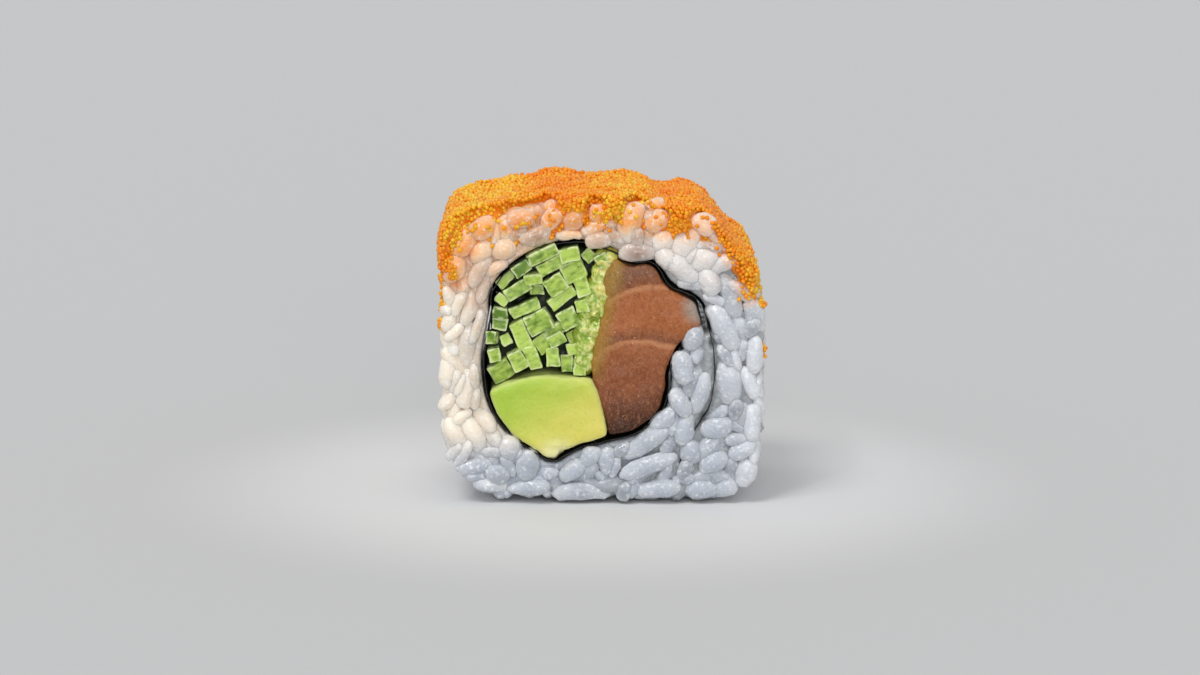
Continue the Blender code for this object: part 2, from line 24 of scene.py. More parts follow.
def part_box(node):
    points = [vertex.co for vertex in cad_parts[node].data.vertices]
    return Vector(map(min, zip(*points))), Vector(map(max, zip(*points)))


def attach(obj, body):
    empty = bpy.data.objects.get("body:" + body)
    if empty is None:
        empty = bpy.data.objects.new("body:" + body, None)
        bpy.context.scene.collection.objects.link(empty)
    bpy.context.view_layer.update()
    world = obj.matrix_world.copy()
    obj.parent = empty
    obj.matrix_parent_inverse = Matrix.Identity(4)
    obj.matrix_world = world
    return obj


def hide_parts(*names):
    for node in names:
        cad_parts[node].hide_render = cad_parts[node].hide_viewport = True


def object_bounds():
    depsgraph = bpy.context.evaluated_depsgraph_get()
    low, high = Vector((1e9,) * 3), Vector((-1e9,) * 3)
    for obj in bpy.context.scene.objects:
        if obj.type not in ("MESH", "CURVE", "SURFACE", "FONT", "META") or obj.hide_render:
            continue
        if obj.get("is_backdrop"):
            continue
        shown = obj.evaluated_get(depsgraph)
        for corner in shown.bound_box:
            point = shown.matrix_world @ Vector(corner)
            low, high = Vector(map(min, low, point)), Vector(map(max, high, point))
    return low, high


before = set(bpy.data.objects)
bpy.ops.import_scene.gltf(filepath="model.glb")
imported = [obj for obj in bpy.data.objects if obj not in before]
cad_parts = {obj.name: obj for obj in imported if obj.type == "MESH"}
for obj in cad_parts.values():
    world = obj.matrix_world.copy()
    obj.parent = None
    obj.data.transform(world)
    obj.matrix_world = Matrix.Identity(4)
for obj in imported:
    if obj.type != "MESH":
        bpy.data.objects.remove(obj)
CAD_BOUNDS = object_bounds()

MM = 0.001
BODY = "root"
PHOTO_WIDTH_PX = 1200
ROE_START, ROE_END = 22, 152
SMOOTH_ALL = 180
LOG = logging.getLogger("uramaki")

Colour = tuple[float, float, float, float]
Setting = Union[str, float, bool, Sequence]
Shade = Union["Wire", Colour]
Pair = tuple[float, float]
Triple = tuple[float, float, float]


def srgb(red: int, green: int, blue: int) -> Colour:
    """A colour given as screen values from 0 to 255.

    Args:
        red: The red value.
        green: The green value.
        blue: The blue value.

    Returns:
        The same colour in linear light, with full alpha.
    """
    def linear(value: int) -> float:
        """One channel in linear light."""
        share = value / 255
        return share / 12.92 if share <= 0.04045 else ((share + 0.055) / 1.055) ** 2.4

    return linear(red), linear(green), linear(blue), 1.0


def operator(operation: str, reflected: bool = False) -> Callable:
    """Makes one overloaded operator of Wire.

    Args:
        operation: The Math node's operation.
        reflected: Whether the wire stands on the right of the operator.

    Returns:
        The method that adds the Math node.
    """
    def apply(self: "Wire", other: Union["Wire", float]) -> "Wire":
        """Adds the Math node and returns its result."""
        first, second = (other, self) if reflected else (self, other)
        return self.graph.node("ShaderNodeMath", {"operation": operation}, {0: first, 1: second})

    return apply


class Wire:
    """A value in a material's node tree, which Python expressions can work with."""

    __add__ = operator("ADD")
    __radd__ = operator("ADD", reflected=True)
    __sub__ = operator("SUBTRACT")
    __rsub__ = operator("SUBTRACT", reflected=True)
    __mul__ = operator("MULTIPLY")
    __rmul__ = operator("MULTIPLY", reflected=True)
    __truediv__ = operator("DIVIDE")
    __pow__ = operator("POWER")

    def __init__(self, graph: "Graph", output: bpy.types.NodeSocket) -> None:
        """Wraps an output socket.

        Args:
            graph: The node tree that the socket belongs to.
            output: The socket.
        """
        self.graph = graph
        self.output = output

    def __abs__(self) -> "Wire":
        """The value without its sign."""
        return self.graph.node("ShaderNodeMath", {"operation": "ABSOLUTE"}, {0: self})

    def root(self) -> "Wire":
        """The value's square root."""
        return self.graph.node("ShaderNodeMath", {"operation": "SQRT"}, {0: self})

    def least(self, other: "Wire") -> "Wire":
        """The lesser of two values."""
        return self.graph.node("ShaderNodeMath", {"operation": "MINIMUM"}, {0: self, 1: other})

    def ramp(self, low: float, high: float, start: float = 0.0, end: float = 1.0) -> "Wire":
        """Maps the value smoothly from one range to another.

        Args:
            low: The value that gives start.
            high: The value that gives end.
            start: The result at low.
            end: The result at high.

        Returns:
            The mapped value, held within start and end.
        """
        sockets = {"Value": self, "From Min": low, "From Max": high, "To Min": start, "To Max": end}
        return self.graph.node("ShaderNodeMapRange", {"interpolation_type": "SMOOTHSTEP"}, sockets)


class Graph:
    """A new material's node tree, built from expressions and from one method that makes any node."""

    def __init__(self, name: str, **constants: Union[float, Sequence[float]]) -> None:
        """Makes the material.

        Args:
            name: The material's name.
            constants: Values of the shader's own sockets, with _ for each space in a socket's name.
        """
        self.material = bpy.data.materials.new(name)
        self.material.use_nodes = True
        self.tree = self.material.node_tree
        self.shader = self.tree.nodes["Principled BSDF"]
        for socket, value in constants.items():
            self.shader.inputs[socket.replace("_", " ")].default_value = value

    def node(
        self,
        kind: str,
        settings: dict[str, Setting],
        sockets: dict,
        output: Union[int, str] = 0,
    ) -> Wire:
        """Adds a node.

        Args:
            kind: The node's type.
            settings: The node's own settings, such as a Math node's operation.
            sockets: Values or wires by the name or number of their input.
            output: The name or number of the output to return.

        Returns:
            The output, ready for expressions.
        """
        made = self.tree.nodes.new(kind)
        for name, value in settings.items():
            setattr(made, name, value)
        for name, value in sockets.items():
            if isinstance(value, Wire):
                self.tree.links.new(value.output, made.inputs[name])
            else:
                made.inputs[name].default_value = value
        return Wire(self, made.outputs[output])

    def place(self) -> Wire:
        """The shaded point in millimetres, as Object coordinates give it."""
        point = self.node("ShaderNodeTexCoord", {}, {}, "Object")
        return self.node("ShaderNodeMapping", {}, {"Vector": point, "Scale": (1 / MM, 1 / MM, 1 / MM)})

    def axes(self, place: Wire) -> tuple[Wire, Wire, Wire]:
        """The three coordinates of a place.

        Args:
            place: The place.

        Returns:
            Its x, y and z.
        """
        parts = self.tree.nodes.new("ShaderNodeSeparateXYZ")
        self.tree.links.new(place.output, parts.inputs[0])
        return Wire(self, parts.outputs[0]), Wire(self, parts.outputs[1]), Wire(self, parts.outputs[2])

    def attribute(self, name: str) -> Wire:
        """A number that the mesh itself carries."""
        return self.node("ShaderNodeAttribute", {"attribute_name": name}, {}, "Fac")

    def vector(self, name: str) -> Wire:
        """A point or direction that the mesh itself carries."""
        return self.node("ShaderNodeAttribute", {"attribute_name": name}, {}, "Vector")

    def noise(
        self,
        place: Wire,
        scale: float,
        detail: float = 2.0,
        stretch: Sequence[float] = (1, 1, 1),
    ) -> Wire:
        """A soft random pattern.

        Args:
            place: The point that the pattern is read at, in millimetres.
            scale: How many features fit in a millimetre.
            detail: How many finer layers it has.
            stretch: How much finer the pattern runs along each axis.

        Returns:
            A value around a half.
        """
        moved = self.node("ShaderNodeMapping", {}, {"Vector": place, "Scale": tuple(stretch)})
        return self.node("ShaderNodeTexNoise", {}, {"Vector": moved, "Scale": scale, "Detail": detail})

    def blend(self, first: Shade, second: Shade, share: Union[Wire, float]) -> Wire:
        """Mixes two colours.

        Args:
            first: The colour at share 0.
            second: The colour at share 1.
            share: How much of the second colour shows.

        Returns:
            The mixed colour.
        """
        return self.node("ShaderNodeMix", {"data_type": "RGBA"}, {0: share, 6: first, 7: second}, 2)

    def bump(self, height: Wire, depth: float, strength: float = 1.0) -> Wire:
        """A surface direction that follows a height.

        Args:
            height: The height, from 0 to 1.
            depth: How deep a height of 1 is, in metres.
            strength: How much of it shows.

        Returns:
            The direction, for a Normal socket.
        """
        return self.node("ShaderNodeBump", {}, {"Strength": strength, "Distance": depth, "Height": height})

    def feed(self, **sockets: Wire) -> bpy.types.Material:
        """Links results to the shader.

        Args:
            sockets: Wires by the shader's socket names, with _ for each space.

        Returns:
            The finished material.
        """
        for name, wire in sockets.items():
            self.tree.links.new(wire.output, self.shader.inputs[name.replace("_", " ")])
        return self.material


def distance(across: Wire, up: Wire, spot: Pair = (0.0, 0.0)) -> Wire:
    """How far a shaded point lies from a spot, over two of its coordinates.

    Args:
        across: The point's first coordinate.
        up: Its second one.
        spot: The spot's two coordinates.

    Returns:
        The distance.
    """
    side = across - spot[0]
    rise = up - spot[1]
    return (side * side + rise * rise).root()


@dataclass(frozen=True)
class RiceFinish:
    """Moist cooked rice, stained by the roe, with painted light and shade: cool grey painted shade low down
    and on the right, cream painted light on the left, and white painted light high up and along the right
    edge.
    A peach tint high up on the left is partly the roe's stain and partly painted light bled from the roe.

    Each grain has its own tone, from glassy to milky, with painted rim light on its sides where it meets its
    neighbours and white painted sparkle highlights. The bed between the grains takes painted shade, darker
    where little light gets in.
    """

    name: str = "rice"
    hollow_shade: float = 0.0
    # low, right, cream, high and edge are painted shade and light over the rice's white; gap is painted shade
    # between the grains.
    low: Colour = srgb(174, 181, 193)
    right: Colour = srgb(192, 197, 205)
    cream: Colour = srgb(253, 238, 216)
    high: Colour = srgb(236, 226, 218)
    peach: Colour = srgb(246, 206, 164)
    stain: Colour = srgb(250, 162, 70)
    tan: Colour = srgb(206, 186, 164)
    soaked: Colour = srgb(222, 158, 112)
    edge: Colour = srgb(220, 223, 228)
    glassy: Colour = srgb(132, 138, 148)
    glassy_top: Colour = srgb(132, 86, 58)
    painted_highlight: Colour = srgb(250, 250, 248)
    gap: Colour = srgb(122, 126, 122)

    def make(self) -> bpy.types.Material:
        """Builds the material.

        Returns:
            The finished material.
        """
        graph = Graph(
            self.name,
            Subsurface_Weight=0.35,
            Subsurface_Radius=(1.0, 0.85, 0.7),
            Subsurface_Scale=0.0008,
            IOR=1.42,
            Coat_IOR=1.4,
            Coat_Roughness=0.08,
        )
        place = graph.place()
        x, _, z = graph.axes(place)
        patches = graph.noise(place, 0.16, 1) * 9
        # Painted shade and light by place: cool grey low down and on the right, white high up, lighter along
        # the right edge, cream on the lit left side.
        colour = graph.blend(self.low, self.right, (z + patches).ramp(8, 26))
        upper = (z - abs(x - 3) * 0.3 + patches).ramp(26, 35)
        colour = graph.blend(colour, self.high, upper)
        colour = graph.blend(colour, self.edge, (x + patches).ramp(20, 25) * 0.8)
        left = (patches - x + z * 0.15).ramp(8, 20) * (z - x * 0.15).ramp(7, 13)
        colour = graph.blend(colour, self.cream, left)
        by_nori = (x + 19.5).ramp(0, 4.5) * (-6 - x).ramp(0, 4)
        colour = graph.blend(colour, self.tan, by_nori * z.ramp(8, 16) * 0.75)
        colour = graph.blend(colour, self.soaked, by_nori * (z + patches).ramp(26, 38) * 0.75)
        # Peach high up on the left: partly the roe's stain, partly painted light bled from the roe.
        warm = (z - x * 0.28 + patches).ramp(33, 42)
        colour = graph.blend(colour, self.peach, warm * 0.9)
        near = graph.attribute("near_roe") + graph.noise(place, 0.45, 2) * 0.6 - 0.3
        tinged = near.ramp(0.4, 0.8) * (12 - x).ramp(0, 8)
        colour = graph.blend(colour, self.peach, tinged * 0.8)
        stained = near.ramp(0.5, 0.88) * (1 - x.ramp(4, 14) * 0.5)
        colour = graph.blend(colour, self.stain, stained * 0.95)
        # Painted rim light on each grain's sides, in white, with the glassy tone kept to the grain's middle.
        rim_light, tone = graph.attribute("rim_light"), graph.attribute("tone")
        glassy = graph.blend(self.glassy, self.glassy_top, (z - abs(x) * 0.35).ramp(26, 31))
        clear = (1 - tone).ramp(0.1, 1.0) * x.ramp(-18, -6, 0.3, 1.0)
        colour = graph.blend(colour, glassy, clear * (1 - rim_light * 0.8) * 0.85)
        # Painted sparkle highlights, in white.
        painted_sparkles = graph.noise(place, 2.0, 3).ramp(0.54, 0.68)
        colour = graph.blend(colour, self.painted_highlight, rim_light * 0.42 + painted_sparkles * 0.38)
        # Painted shade in the bed between the grains, stronger towards the right.
        if self.hollow_shade:
            colour = graph.blend(colour, self.gap, (x + 8).ramp(0, 14) * self.hollow_shade)
        grit = graph.noise(place, 2.4, 3)
        wet = graph.noise(place, 0.9, 1)
        return graph.feed(
            Base_Color=colour,
            Roughness=wet.ramp(0.35, 0.65, 0.2, 0.45),
            Coat_Weight=wet.ramp(0.38, 0.62, 0.8, 0.15),
            Normal=graph.bump(grit, 0.22 * MM, 0.7),
        )


@dataclass(frozen=True)
class NoriFinish:
    """Dried seaweed, nearly black green, with a crinkled sheen."""

    dark: Colour = srgb(14, 17, 12)
    green: Colour = srgb(38, 44, 26)

    def make(self) -> bpy.types.Material:
        """Builds the material.

        Returns:
            The finished material.
        """
        graph = Graph("nori", IOR=1.45)
        place = graph.place()
        crinkle = graph.noise(place, 1.4, 4)
        return graph.feed(
            Base_Color=graph.blend(self.dark, self.green, crinkle.ramp(0.45, 0.75)),
            Roughness=crinkle.ramp(0.3, 0.7, 0.3, 0.6),
            Normal=graph.bump(crinkle, 0.25 * MM, 0.8),
        )


@dataclass(frozen=True)
class FishFinish:
    """Brown fish flesh, darker at its foot, with two pale arcs of fat across it, painted shade beside each
    arc, scattered painted glints and a grey corner.

    Each arc has the place of its middle, the height there and its bow, in millimetres. The first one is the
    upper one, and the flesh above it has the colour of the top.
    """

    flesh: Colour = srgb(166, 96, 52)
    low: Colour = srgb(136, 76, 42)
    foot: Colour = srgb(60, 30, 16)
    top: Colour = srgb(118, 78, 56)
    fat: Colour = srgb(206, 148, 106)
    flake_shade: Colour = srgb(104, 58, 34)
    olive: Colour = srgb(158, 124, 42)
    corner: Colour = srgb(158, 148, 136)
    glint: Colour = srgb(236, 202, 170)
    flake_arcs: tuple[Triple, ...] = ((6.5, 28.0, 16.0), (5.3, 20.9, 21.0))
    corner_place: Pair = (12.5, 25.4)

    def make(self) -> bpy.types.Material:
        """Builds the material.

        Returns:
            The finished material.
        """
        graph = Graph(
            "fish",
            Subsurface_Weight=0.12,
            Subsurface_Radius=(1.0, 0.4, 0.25),
            Subsurface_Scale=0.0008,
            IOR=1.36,
        )
        place = graph.place()
        x, _, z = graph.axes(place)
        cloud = graph.noise(place, 0.3, 2) * 4 - 2
        colour = graph.blend(self.foot, self.low, (z + cloud - x * 0.15).ramp(9.5, 15))
        colour = graph.blend(colour, self.flesh, (z + cloud).ramp(16, 23))
        wobble = graph.noise(place, 0.35, 2) * 1.2 - 0.6
        for number, (middle, height, bow) in enumerate(self.flake_arcs):
            above = (x - middle) * (x - middle) / bow + z + wobble - height
            # Painted shade in a band just above each arc of fat.
            shaded = above.ramp(0.2, 0.5) * (1 - above.ramp(0.6, 2.6))
            colour = graph.blend(colour, self.flake_shade, shaded * 0.6)
            colour = graph.blend(colour, self.fat, (1 - abs(above).ramp(0.0, 0.6)) * 0.5)
            if number == 0:
                colour = graph.blend(colour, self.top, above.ramp(0.5, 1.8) * 0.9)
        grey = distance(x, z, self.corner_place)
        colour = graph.blend(colour, self.corner, 1 - grey.ramp(0.8, 3.2))
        left = x - z * 0.19 + 4.7 + cloud * 0.4
        colour = graph.blend(colour, self.olive, (1 - left.ramp(0.2, 2.6)) * z.ramp(15, 18) * 0.8)
        fine = graph.noise(place, 4.5, 2)
        colour = graph.blend(colour, self.fat, fine.ramp(0.5, 0.7) * 0.2)
        colour = graph.blend(colour, self.foot, (1 - fine.ramp(0.3, 0.5)) * 0.2)
        grain = graph.noise(place, 1.5, 4, (1.2, 0.4, 0.8))
        colour = graph.blend(colour, self.fat, grain.ramp(0.52, 0.8) * 0.3)
        colour = graph.blend(colour, self.foot, (1 - grain.ramp(0.26, 0.48)) * 0.25)
        # Scattered painted glints in a pale colour.
        painted_glints = graph.noise(place, 2.2, 1).ramp(0.73, 0.79)
        colour = graph.blend(colour, self.glint, painted_glints * 0.5)
        return graph.feed(
            Base_Color=colour,
            Roughness=grain.ramp(0.3, 0.7, 0.3, 0.55),
            Normal=graph.bump(grain, 0.22 * MM, 0.7),
        )


@dataclass(frozen=True)
class AvocadoFinish:
    """Avocado flesh: green by the skin side, yellower inwards, with a cream tip at the foot, painted
    highlights on its rounded edges and painted shade on the right of the tip.
    """

    green: Colour = srgb(170, 200, 66)
    yellow: Colour = srgb(222, 210, 102)
    cream: Colour = srgb(238, 234, 178)
    skin: Colour = srgb(128, 158, 46)
    tip: Pair = (-5.6, 5.4)

    def make(self) -> bpy.types.Material:
        """Builds the material.

        Returns:
            The finished material.
        """
        graph = Graph(
            "avocado",
            Subsurface_Weight=0.3,
            Subsurface_Radius=(1.0, 0.9, 0.3),
            Subsurface_Scale=0.0015,
            IOR=1.4,
        )
        place = graph.place()
        x, _, z = graph.axes(place)
        cloud = graph.noise(place, 0.28, 3)
        inwards = (x * 0.75 - z + cloud * 6).ramp(-22, -5)
        colour = graph.blend(self.green, self.yellow, inwards)
        from_tip = distance(x, z, self.tip)
        colour = graph.blend(colour, self.cream, (1 - from_tip.ramp(0.8, 4.2)) * 0.9)
        fleck = graph.noise(place, 2.2, 3)
        colour = graph.blend(colour, self.skin, fleck.ramp(0.5, 0.75) * 0.15)
        # Patchy dark green on the right side of the tip: painted shade.
        smear = fleck.ramp(0.4, 0.6) * (1 - from_tip.ramp(1.5, 3.5)) * (x + 5.2).ramp(0, 1.5)
        colour = graph.blend(colour, self.skin, smear)
        # Painted highlight on the rounded edges.
        colour = graph.blend(colour, self.cream, graph.attribute("rim_light") * 0.4)
        return graph.feed(
            Base_Color=colour,
            Roughness=cloud.ramp(0.3, 0.7, 0.3, 0.5),
            Normal=graph.bump(fleck, 0.12 * MM, 0.6),
        )


@dataclass(frozen=True)
class CucumberFinish:
    """Wet cut cucumber: each stick has its own tone, with painted highlights on its cut edges and painted
    shade on its sides behind the cut face.
    """

    deep: Colour = srgb(34, 48, 14)
    dark: Colour = srgb(96, 130, 44)
    light: Colour = srgb(186, 212, 98)
    pale: Colour = srgb(226, 234, 184)
    face_depth: float = 12.3

    def make(self) -> bpy.types.Material:
        """Builds the material.

        Returns:
            The finished material.
        """
        graph = Graph(
            "cucumber",
            Subsurface_Weight=0.25,
            Subsurface_Radius=(0.7, 1.0, 0.3),
            Subsurface_Scale=0.0006,
            IOR=1.36,
        )
        local = graph.vector("local")
        across, _, up = graph.axes(local)
        side_gap = graph.attribute("half_width") - abs(across)
        gap = side_gap.least(graph.attribute("half_height") - abs(up))
        streak = graph.noise(local, 1.0, 4, (0.9, 0.3, 1.9))
        mottle = graph.noise(local, 1.3, 3)
        shade = graph.attribute("tone") + streak * 1.5 + mottle * 0.9 - 1.2
        colour = graph.blend(self.dark, self.light, shade.ramp(0.0, 1.0))
        # Painted highlight along each stick's cut edges.
        rim_light = (1 - gap.ramp(0.06, 0.34)) * mottle.ramp(0.35, 0.6)
        colour = graph.blend(colour, self.pale, rim_light * 0.8)
        # Painted shade on the sticks' sides, deeper behind the cut face.
        _, along, _ = graph.axes(graph.place())
        colour = graph.blend(colour, self.deep, (self.face_depth - abs(along)).ramp(0.3, 2.2) * 0.9)
        return graph.feed(
            Base_Color=colour,
            Roughness=streak.ramp(0.3, 0.7, 0.2, 0.45),
            Normal=graph.bump(streak, 0.15 * MM, 0.6),
        )


@dataclass(frozen=True)
class PulpFinish:
    """Wet seed pulp, clear, with olive painted shade in its hollows and green to pale yellow where bits
    stand out.
    """

    hollow_shade: Colour = srgb(146, 118, 36)
    green: Colour = srgb(142, 174, 50)
    yellow: Colour = srgb(206, 192, 78)
    pale: Colour = srgb(236, 232, 156)

    def make(self) -> bpy.types.Material:
        """Builds the material.

        Returns:
            The finished material.
        """
        graph = Graph(
            "seed_pulp",
            Subsurface_Weight=0.4,
            Subsurface_Radius=(1.0, 0.8, 0.2),
            Subsurface_Scale=0.0008,
            IOR=1.38,
            Coat_Weight=0.7,
            Coat_Roughness=0.06,
        )
        place = graph.place()
        x, _, _ = graph.axes(place)
        bits = graph.noise(place, 0.7, 2)
        fine = graph.noise(place, 2.2, 2)
        raised = graph.attribute("tone")
        flesh = graph.blend(self.green, self.yellow, (x * 0.12 + bits).ramp(0.3, 0.65))
        # Darker olive painted shade where the pulp lies deep below the cut face.
        colour = graph.blend(self.hollow_shade, flesh, raised.ramp(0.0, 0.55))
        colour = graph.blend(colour, self.pale, (raised * 0.4 + fine).ramp(0.66, 0.95) * 0.65)
        return graph.feed(
            Base_Color=colour,
            Roughness=fine.ramp(0.3, 0.7, 0.12, 0.35),
            Normal=graph.bump(fine, 0.12 * MM, 0.6),
        )


@dataclass(frozen=True)
class PlainFoodFinish:
    """A small piece whose colour varies between two over a soft pattern and with each copy's own tone."""

    name: str
    first: Colour
    second: Colour
    roughness: float = 0.25
    coat: float = 0.3
    seep: float = 0.3
    relief: float = 0.0

    def make(self) -> bpy.types.Material:
        """Builds the material.

        Returns:
            The finished material.
        """
        graph = Graph(
            self.name,
            Subsurface_Weight=self.seep,
            Subsurface_Radius=(1.0, 0.5, 0.2),
            Subsurface_Scale=0.0006,
            IOR=1.34,
            Coat_Weight=self.coat,
            Coat_Roughness=0.08,
        )
        place = graph.place()
        cloud = graph.noise(place, 0.22, 2)
        share = (graph.attribute("tone") * 0.8 + cloud - 0.4).ramp(0.15, 0.85)
        fine = graph.noise(place, 2.5, 2)
        return graph.feed(
            Base_Color=graph.blend(self.first, self.second, share),
            Roughness=fine.ramp(0.3, 0.7, self.roughness * 0.7, self.roughness * 1.4),
            Normal=graph.bump(fine, (0.05 + self.relief) * MM, 0.4),
        )


@dataclass(frozen=True)
class GroundFinish:
    """The plain pale ground, with a painted pool of light round the piece."""

    # Painted pool of light: lighter near the piece, fading to the plain ground colour.
    near: Colour = srgb(222, 222, 222)
    far: Colour = srgb(200, 200, 200)
    light_pool_fade: Pair = (26.0, 62.0)

    def make(self) -> bpy.types.Material:
        """Builds the material.

        Returns:
            The finished material.
        """
        graph = Graph("ground", Roughness=0.9)
        x, y, _ = graph.axes(graph.place())
        away = distance(x, y).ramp(*self.light_pool_fade)
        return graph.feed(Base_Color=graph.blend(self.near, self.far, away))


def deselect() -> None:
    """Deselects every object, so that an operator acts on nothing older."""
    for chosen in bpy.context.selected_objects:
        chosen.select_set(False)


def activate(piece: bpy.types.Object) -> None:
    """Selects one object alone and makes it the active one.

    Args:
        piece: The object.
    """
    deselect()
    piece.select_set(True)
    bpy.context.view_layer.objects.active = piece


def edit(piece: bpy.types.Object, *steps: Callable[[], object]) -> None:
    """Runs operators on all of a piece in edit mode.

    Args:
        piece: The piece.
        steps: Calls that each run one operator.
    """
    activate(piece)
    bpy.ops.object.mode_set(mode="EDIT")
    bpy.ops.mesh.select_all(action="SELECT")
    for step in steps:
        step()
    bpy.ops.object.mode_set(mode="OBJECT")


def modify(piece: bpy.types.Object, kind: str, **settings: object) -> None:
    """Adds a modifier and applies it at once.

    Args:
        piece: The piece.
        kind: The modifier's type.
        settings: The modifier's settings.
    """
    made = piece.modifiers.new(kind.lower(), kind)
    for name, value in settings.items():
        setattr(made, name, value)
    activate(piece)
    bpy.ops.object.modifier_apply(modifier=made.name)


def cloud_texture(name: str, size: float, depth: int = 1, coloured: bool = False) -> bpy.types.Texture:
    """A soft noise for Displace modifiers.

    Args:
        name: The texture's name.
        size: The size of its features, in metres.
        depth: How many finer layers it has.
        coloured: Whether its three channels differ.

    Returns:
        The texture.
    """
    texture = bpy.data.textures.new(name, "CLOUDS")
    texture.noise_scale = size
    texture.noise_depth = depth
    texture.cloud_type = "COLOR" if coloured else "GRAYSCALE"
    return texture


def swell(piece: bpy.types.Object, depth: float) -> None:
    """Moves a piece's surface out by a depth, or in where that is below 0."""
    modify(piece, "DISPLACE", strength=depth, mid_level=0.0)


def ripple(piece: bpy.types.Object, depth: float, clouds: bpy.types.Texture, level: float = 0.5) -> None:
    """Raises and lowers a piece's surface softly.

    Args:
        piece: The piece.
        depth: How far the lowest and the highest spots can lie apart, in metres.
        clouds: The pattern.
        level: The pattern's value that leaves the surface where it is.
    """
    modify(piece, "DISPLACE", strength=depth, mid_level=level, texture=clouds)


def crumple(piece: bpy.types.Object, depth: float, clouds: bpy.types.Texture) -> None:
    """Shifts a piece's surface softly in all three directions, as a coloured pattern says."""
    ways = {"direction": "RGB_TO_XYZ", "texture_coords": "LOCAL"}
    modify(piece, "DISPLACE", strength=depth, texture=clouds, **ways)


def add_object(name: str, data: bpy.types.ID) -> bpy.types.Object:
    """Puts data in the scene as a new object.

    Args:
        name: The object's name.
        data: Its mesh, light or camera.

    Returns:
        The object.
    """
    made = bpy.data.objects.new(name, data)
    bpy.context.scene.collection.objects.link(made)
    return made


def copy_of(node: str, name: str) -> bpy.types.Object:
    """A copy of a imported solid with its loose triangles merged, ready to be reshaped.

    Args:
        node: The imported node's name.
        name: The new piece's name.

    Returns:
        The new piece.
    """
    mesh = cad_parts[node].data.copy()
    mesh.materials.clear()
    piece = add_object(name, mesh)
    edit(piece, lambda: bpy.ops.mesh.remove_doubles(threshold=0.002 * MM))
    bpy.ops.mesh.customdata_custom_splitnormals_clear()
    return piece


def remesh(piece: bpy.types.Object, voxel: float, smooth: int) -> None:
    """Gives a piece an even mesh and rounds it.

    Args:
        piece: The piece.
        voxel: The size of the new mesh's faces, in metres.
        smooth: How many times it is smoothed.
    """
    modify(piece, "REMESH", mode="VOXEL", voxel_size=voxel)
    if smooth:
        modify(piece, "SMOOTH", factor=0.5, iterations=smooth)


def finish_piece(
    piece: bpy.types.Object,
    finish: bpy.types.Material,
    node: str,
    crease: float = SMOOTH_ALL,
) -> None:
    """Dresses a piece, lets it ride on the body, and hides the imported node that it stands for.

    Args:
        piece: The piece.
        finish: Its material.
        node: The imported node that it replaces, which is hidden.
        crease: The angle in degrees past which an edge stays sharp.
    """
    piece.data.materials.clear()
    piece.data.materials.append(finish)
    activate(piece)
    if crease < SMOOTH_ALL:
        bpy.ops.object.shade_smooth_by_angle(angle=math.radians(crease))
    else:
        bpy.ops.object.shade_smooth()
    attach(piece, BODY)
    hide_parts(node)
    triangles = sum(len(face.vertices) - 2 for face in piece.data.polygons)
    LOG.info("%s: %d triangles", piece.name, triangles)


def set_attribute(mesh: bpy.types.Mesh, name: str, values: Sequence[float]) -> None:
    """Stores one number for each point of a mesh."""
    layer = mesh.attributes.new(name, "FLOAT", "POINT")
    layer.data.foreach_set("value", np.asarray(values, np.float32))


def fill_attribute(mesh: bpy.types.Mesh, name: str, value: float) -> None:
    """Stores the same number for every point of a mesh."""
    set_attribute(mesh, name, [value] * len(mesh.vertices))


def set_places(mesh: bpy.types.Mesh, name: str, values: Sequence[Vector]) -> None:
    """Stores one place for each point of a mesh."""
    layer = mesh.attributes.new(name, "FLOAT_VECTOR", "POINT")
    layer.data.foreach_set("vector", np.asarray(values, np.float32).ravel())


def tree_of(pieces: Sequence[bpy.types.Object]) -> BVHTree:
    """Finished pieces as one tree that rays can be cast at.

    Args:
        pieces: The pieces.

    Returns:
        The tree, with all of their faces.
    """
    points: list[Vector] = []
    faces: list[list[int]] = []
    for piece in pieces:
        first = len(points)
        points += [vertex.co.copy() for vertex in piece.data.vertices]
        faces += [[first + index for index in face.vertices] for face in piece.data.polygons]
    return BVHTree.FromPolygons(points, faces)


@dataclass
class Shape:
    """A small modelled shape as arrays, one unit across, from which copies are joined."""

    points: np.ndarray
    triangles: np.ndarray

    @classmethod
    def taken_from(cls, piece: bpy.types.Object) -> "Shape":
        """Reads a modelled piece and removes it.

        Args:
            piece: The modelled piece.

        Returns:
            The shape.
        """
        edit(piece, bpy.ops.mesh.quads_convert_to_tris)
        points = np.array([vertex.co for vertex in piece.data.vertices])
        triangles = np.array([face.vertices for face in piece.data.polygons])
        bpy.data.objects.remove(piece)
        return cls(points, triangles)


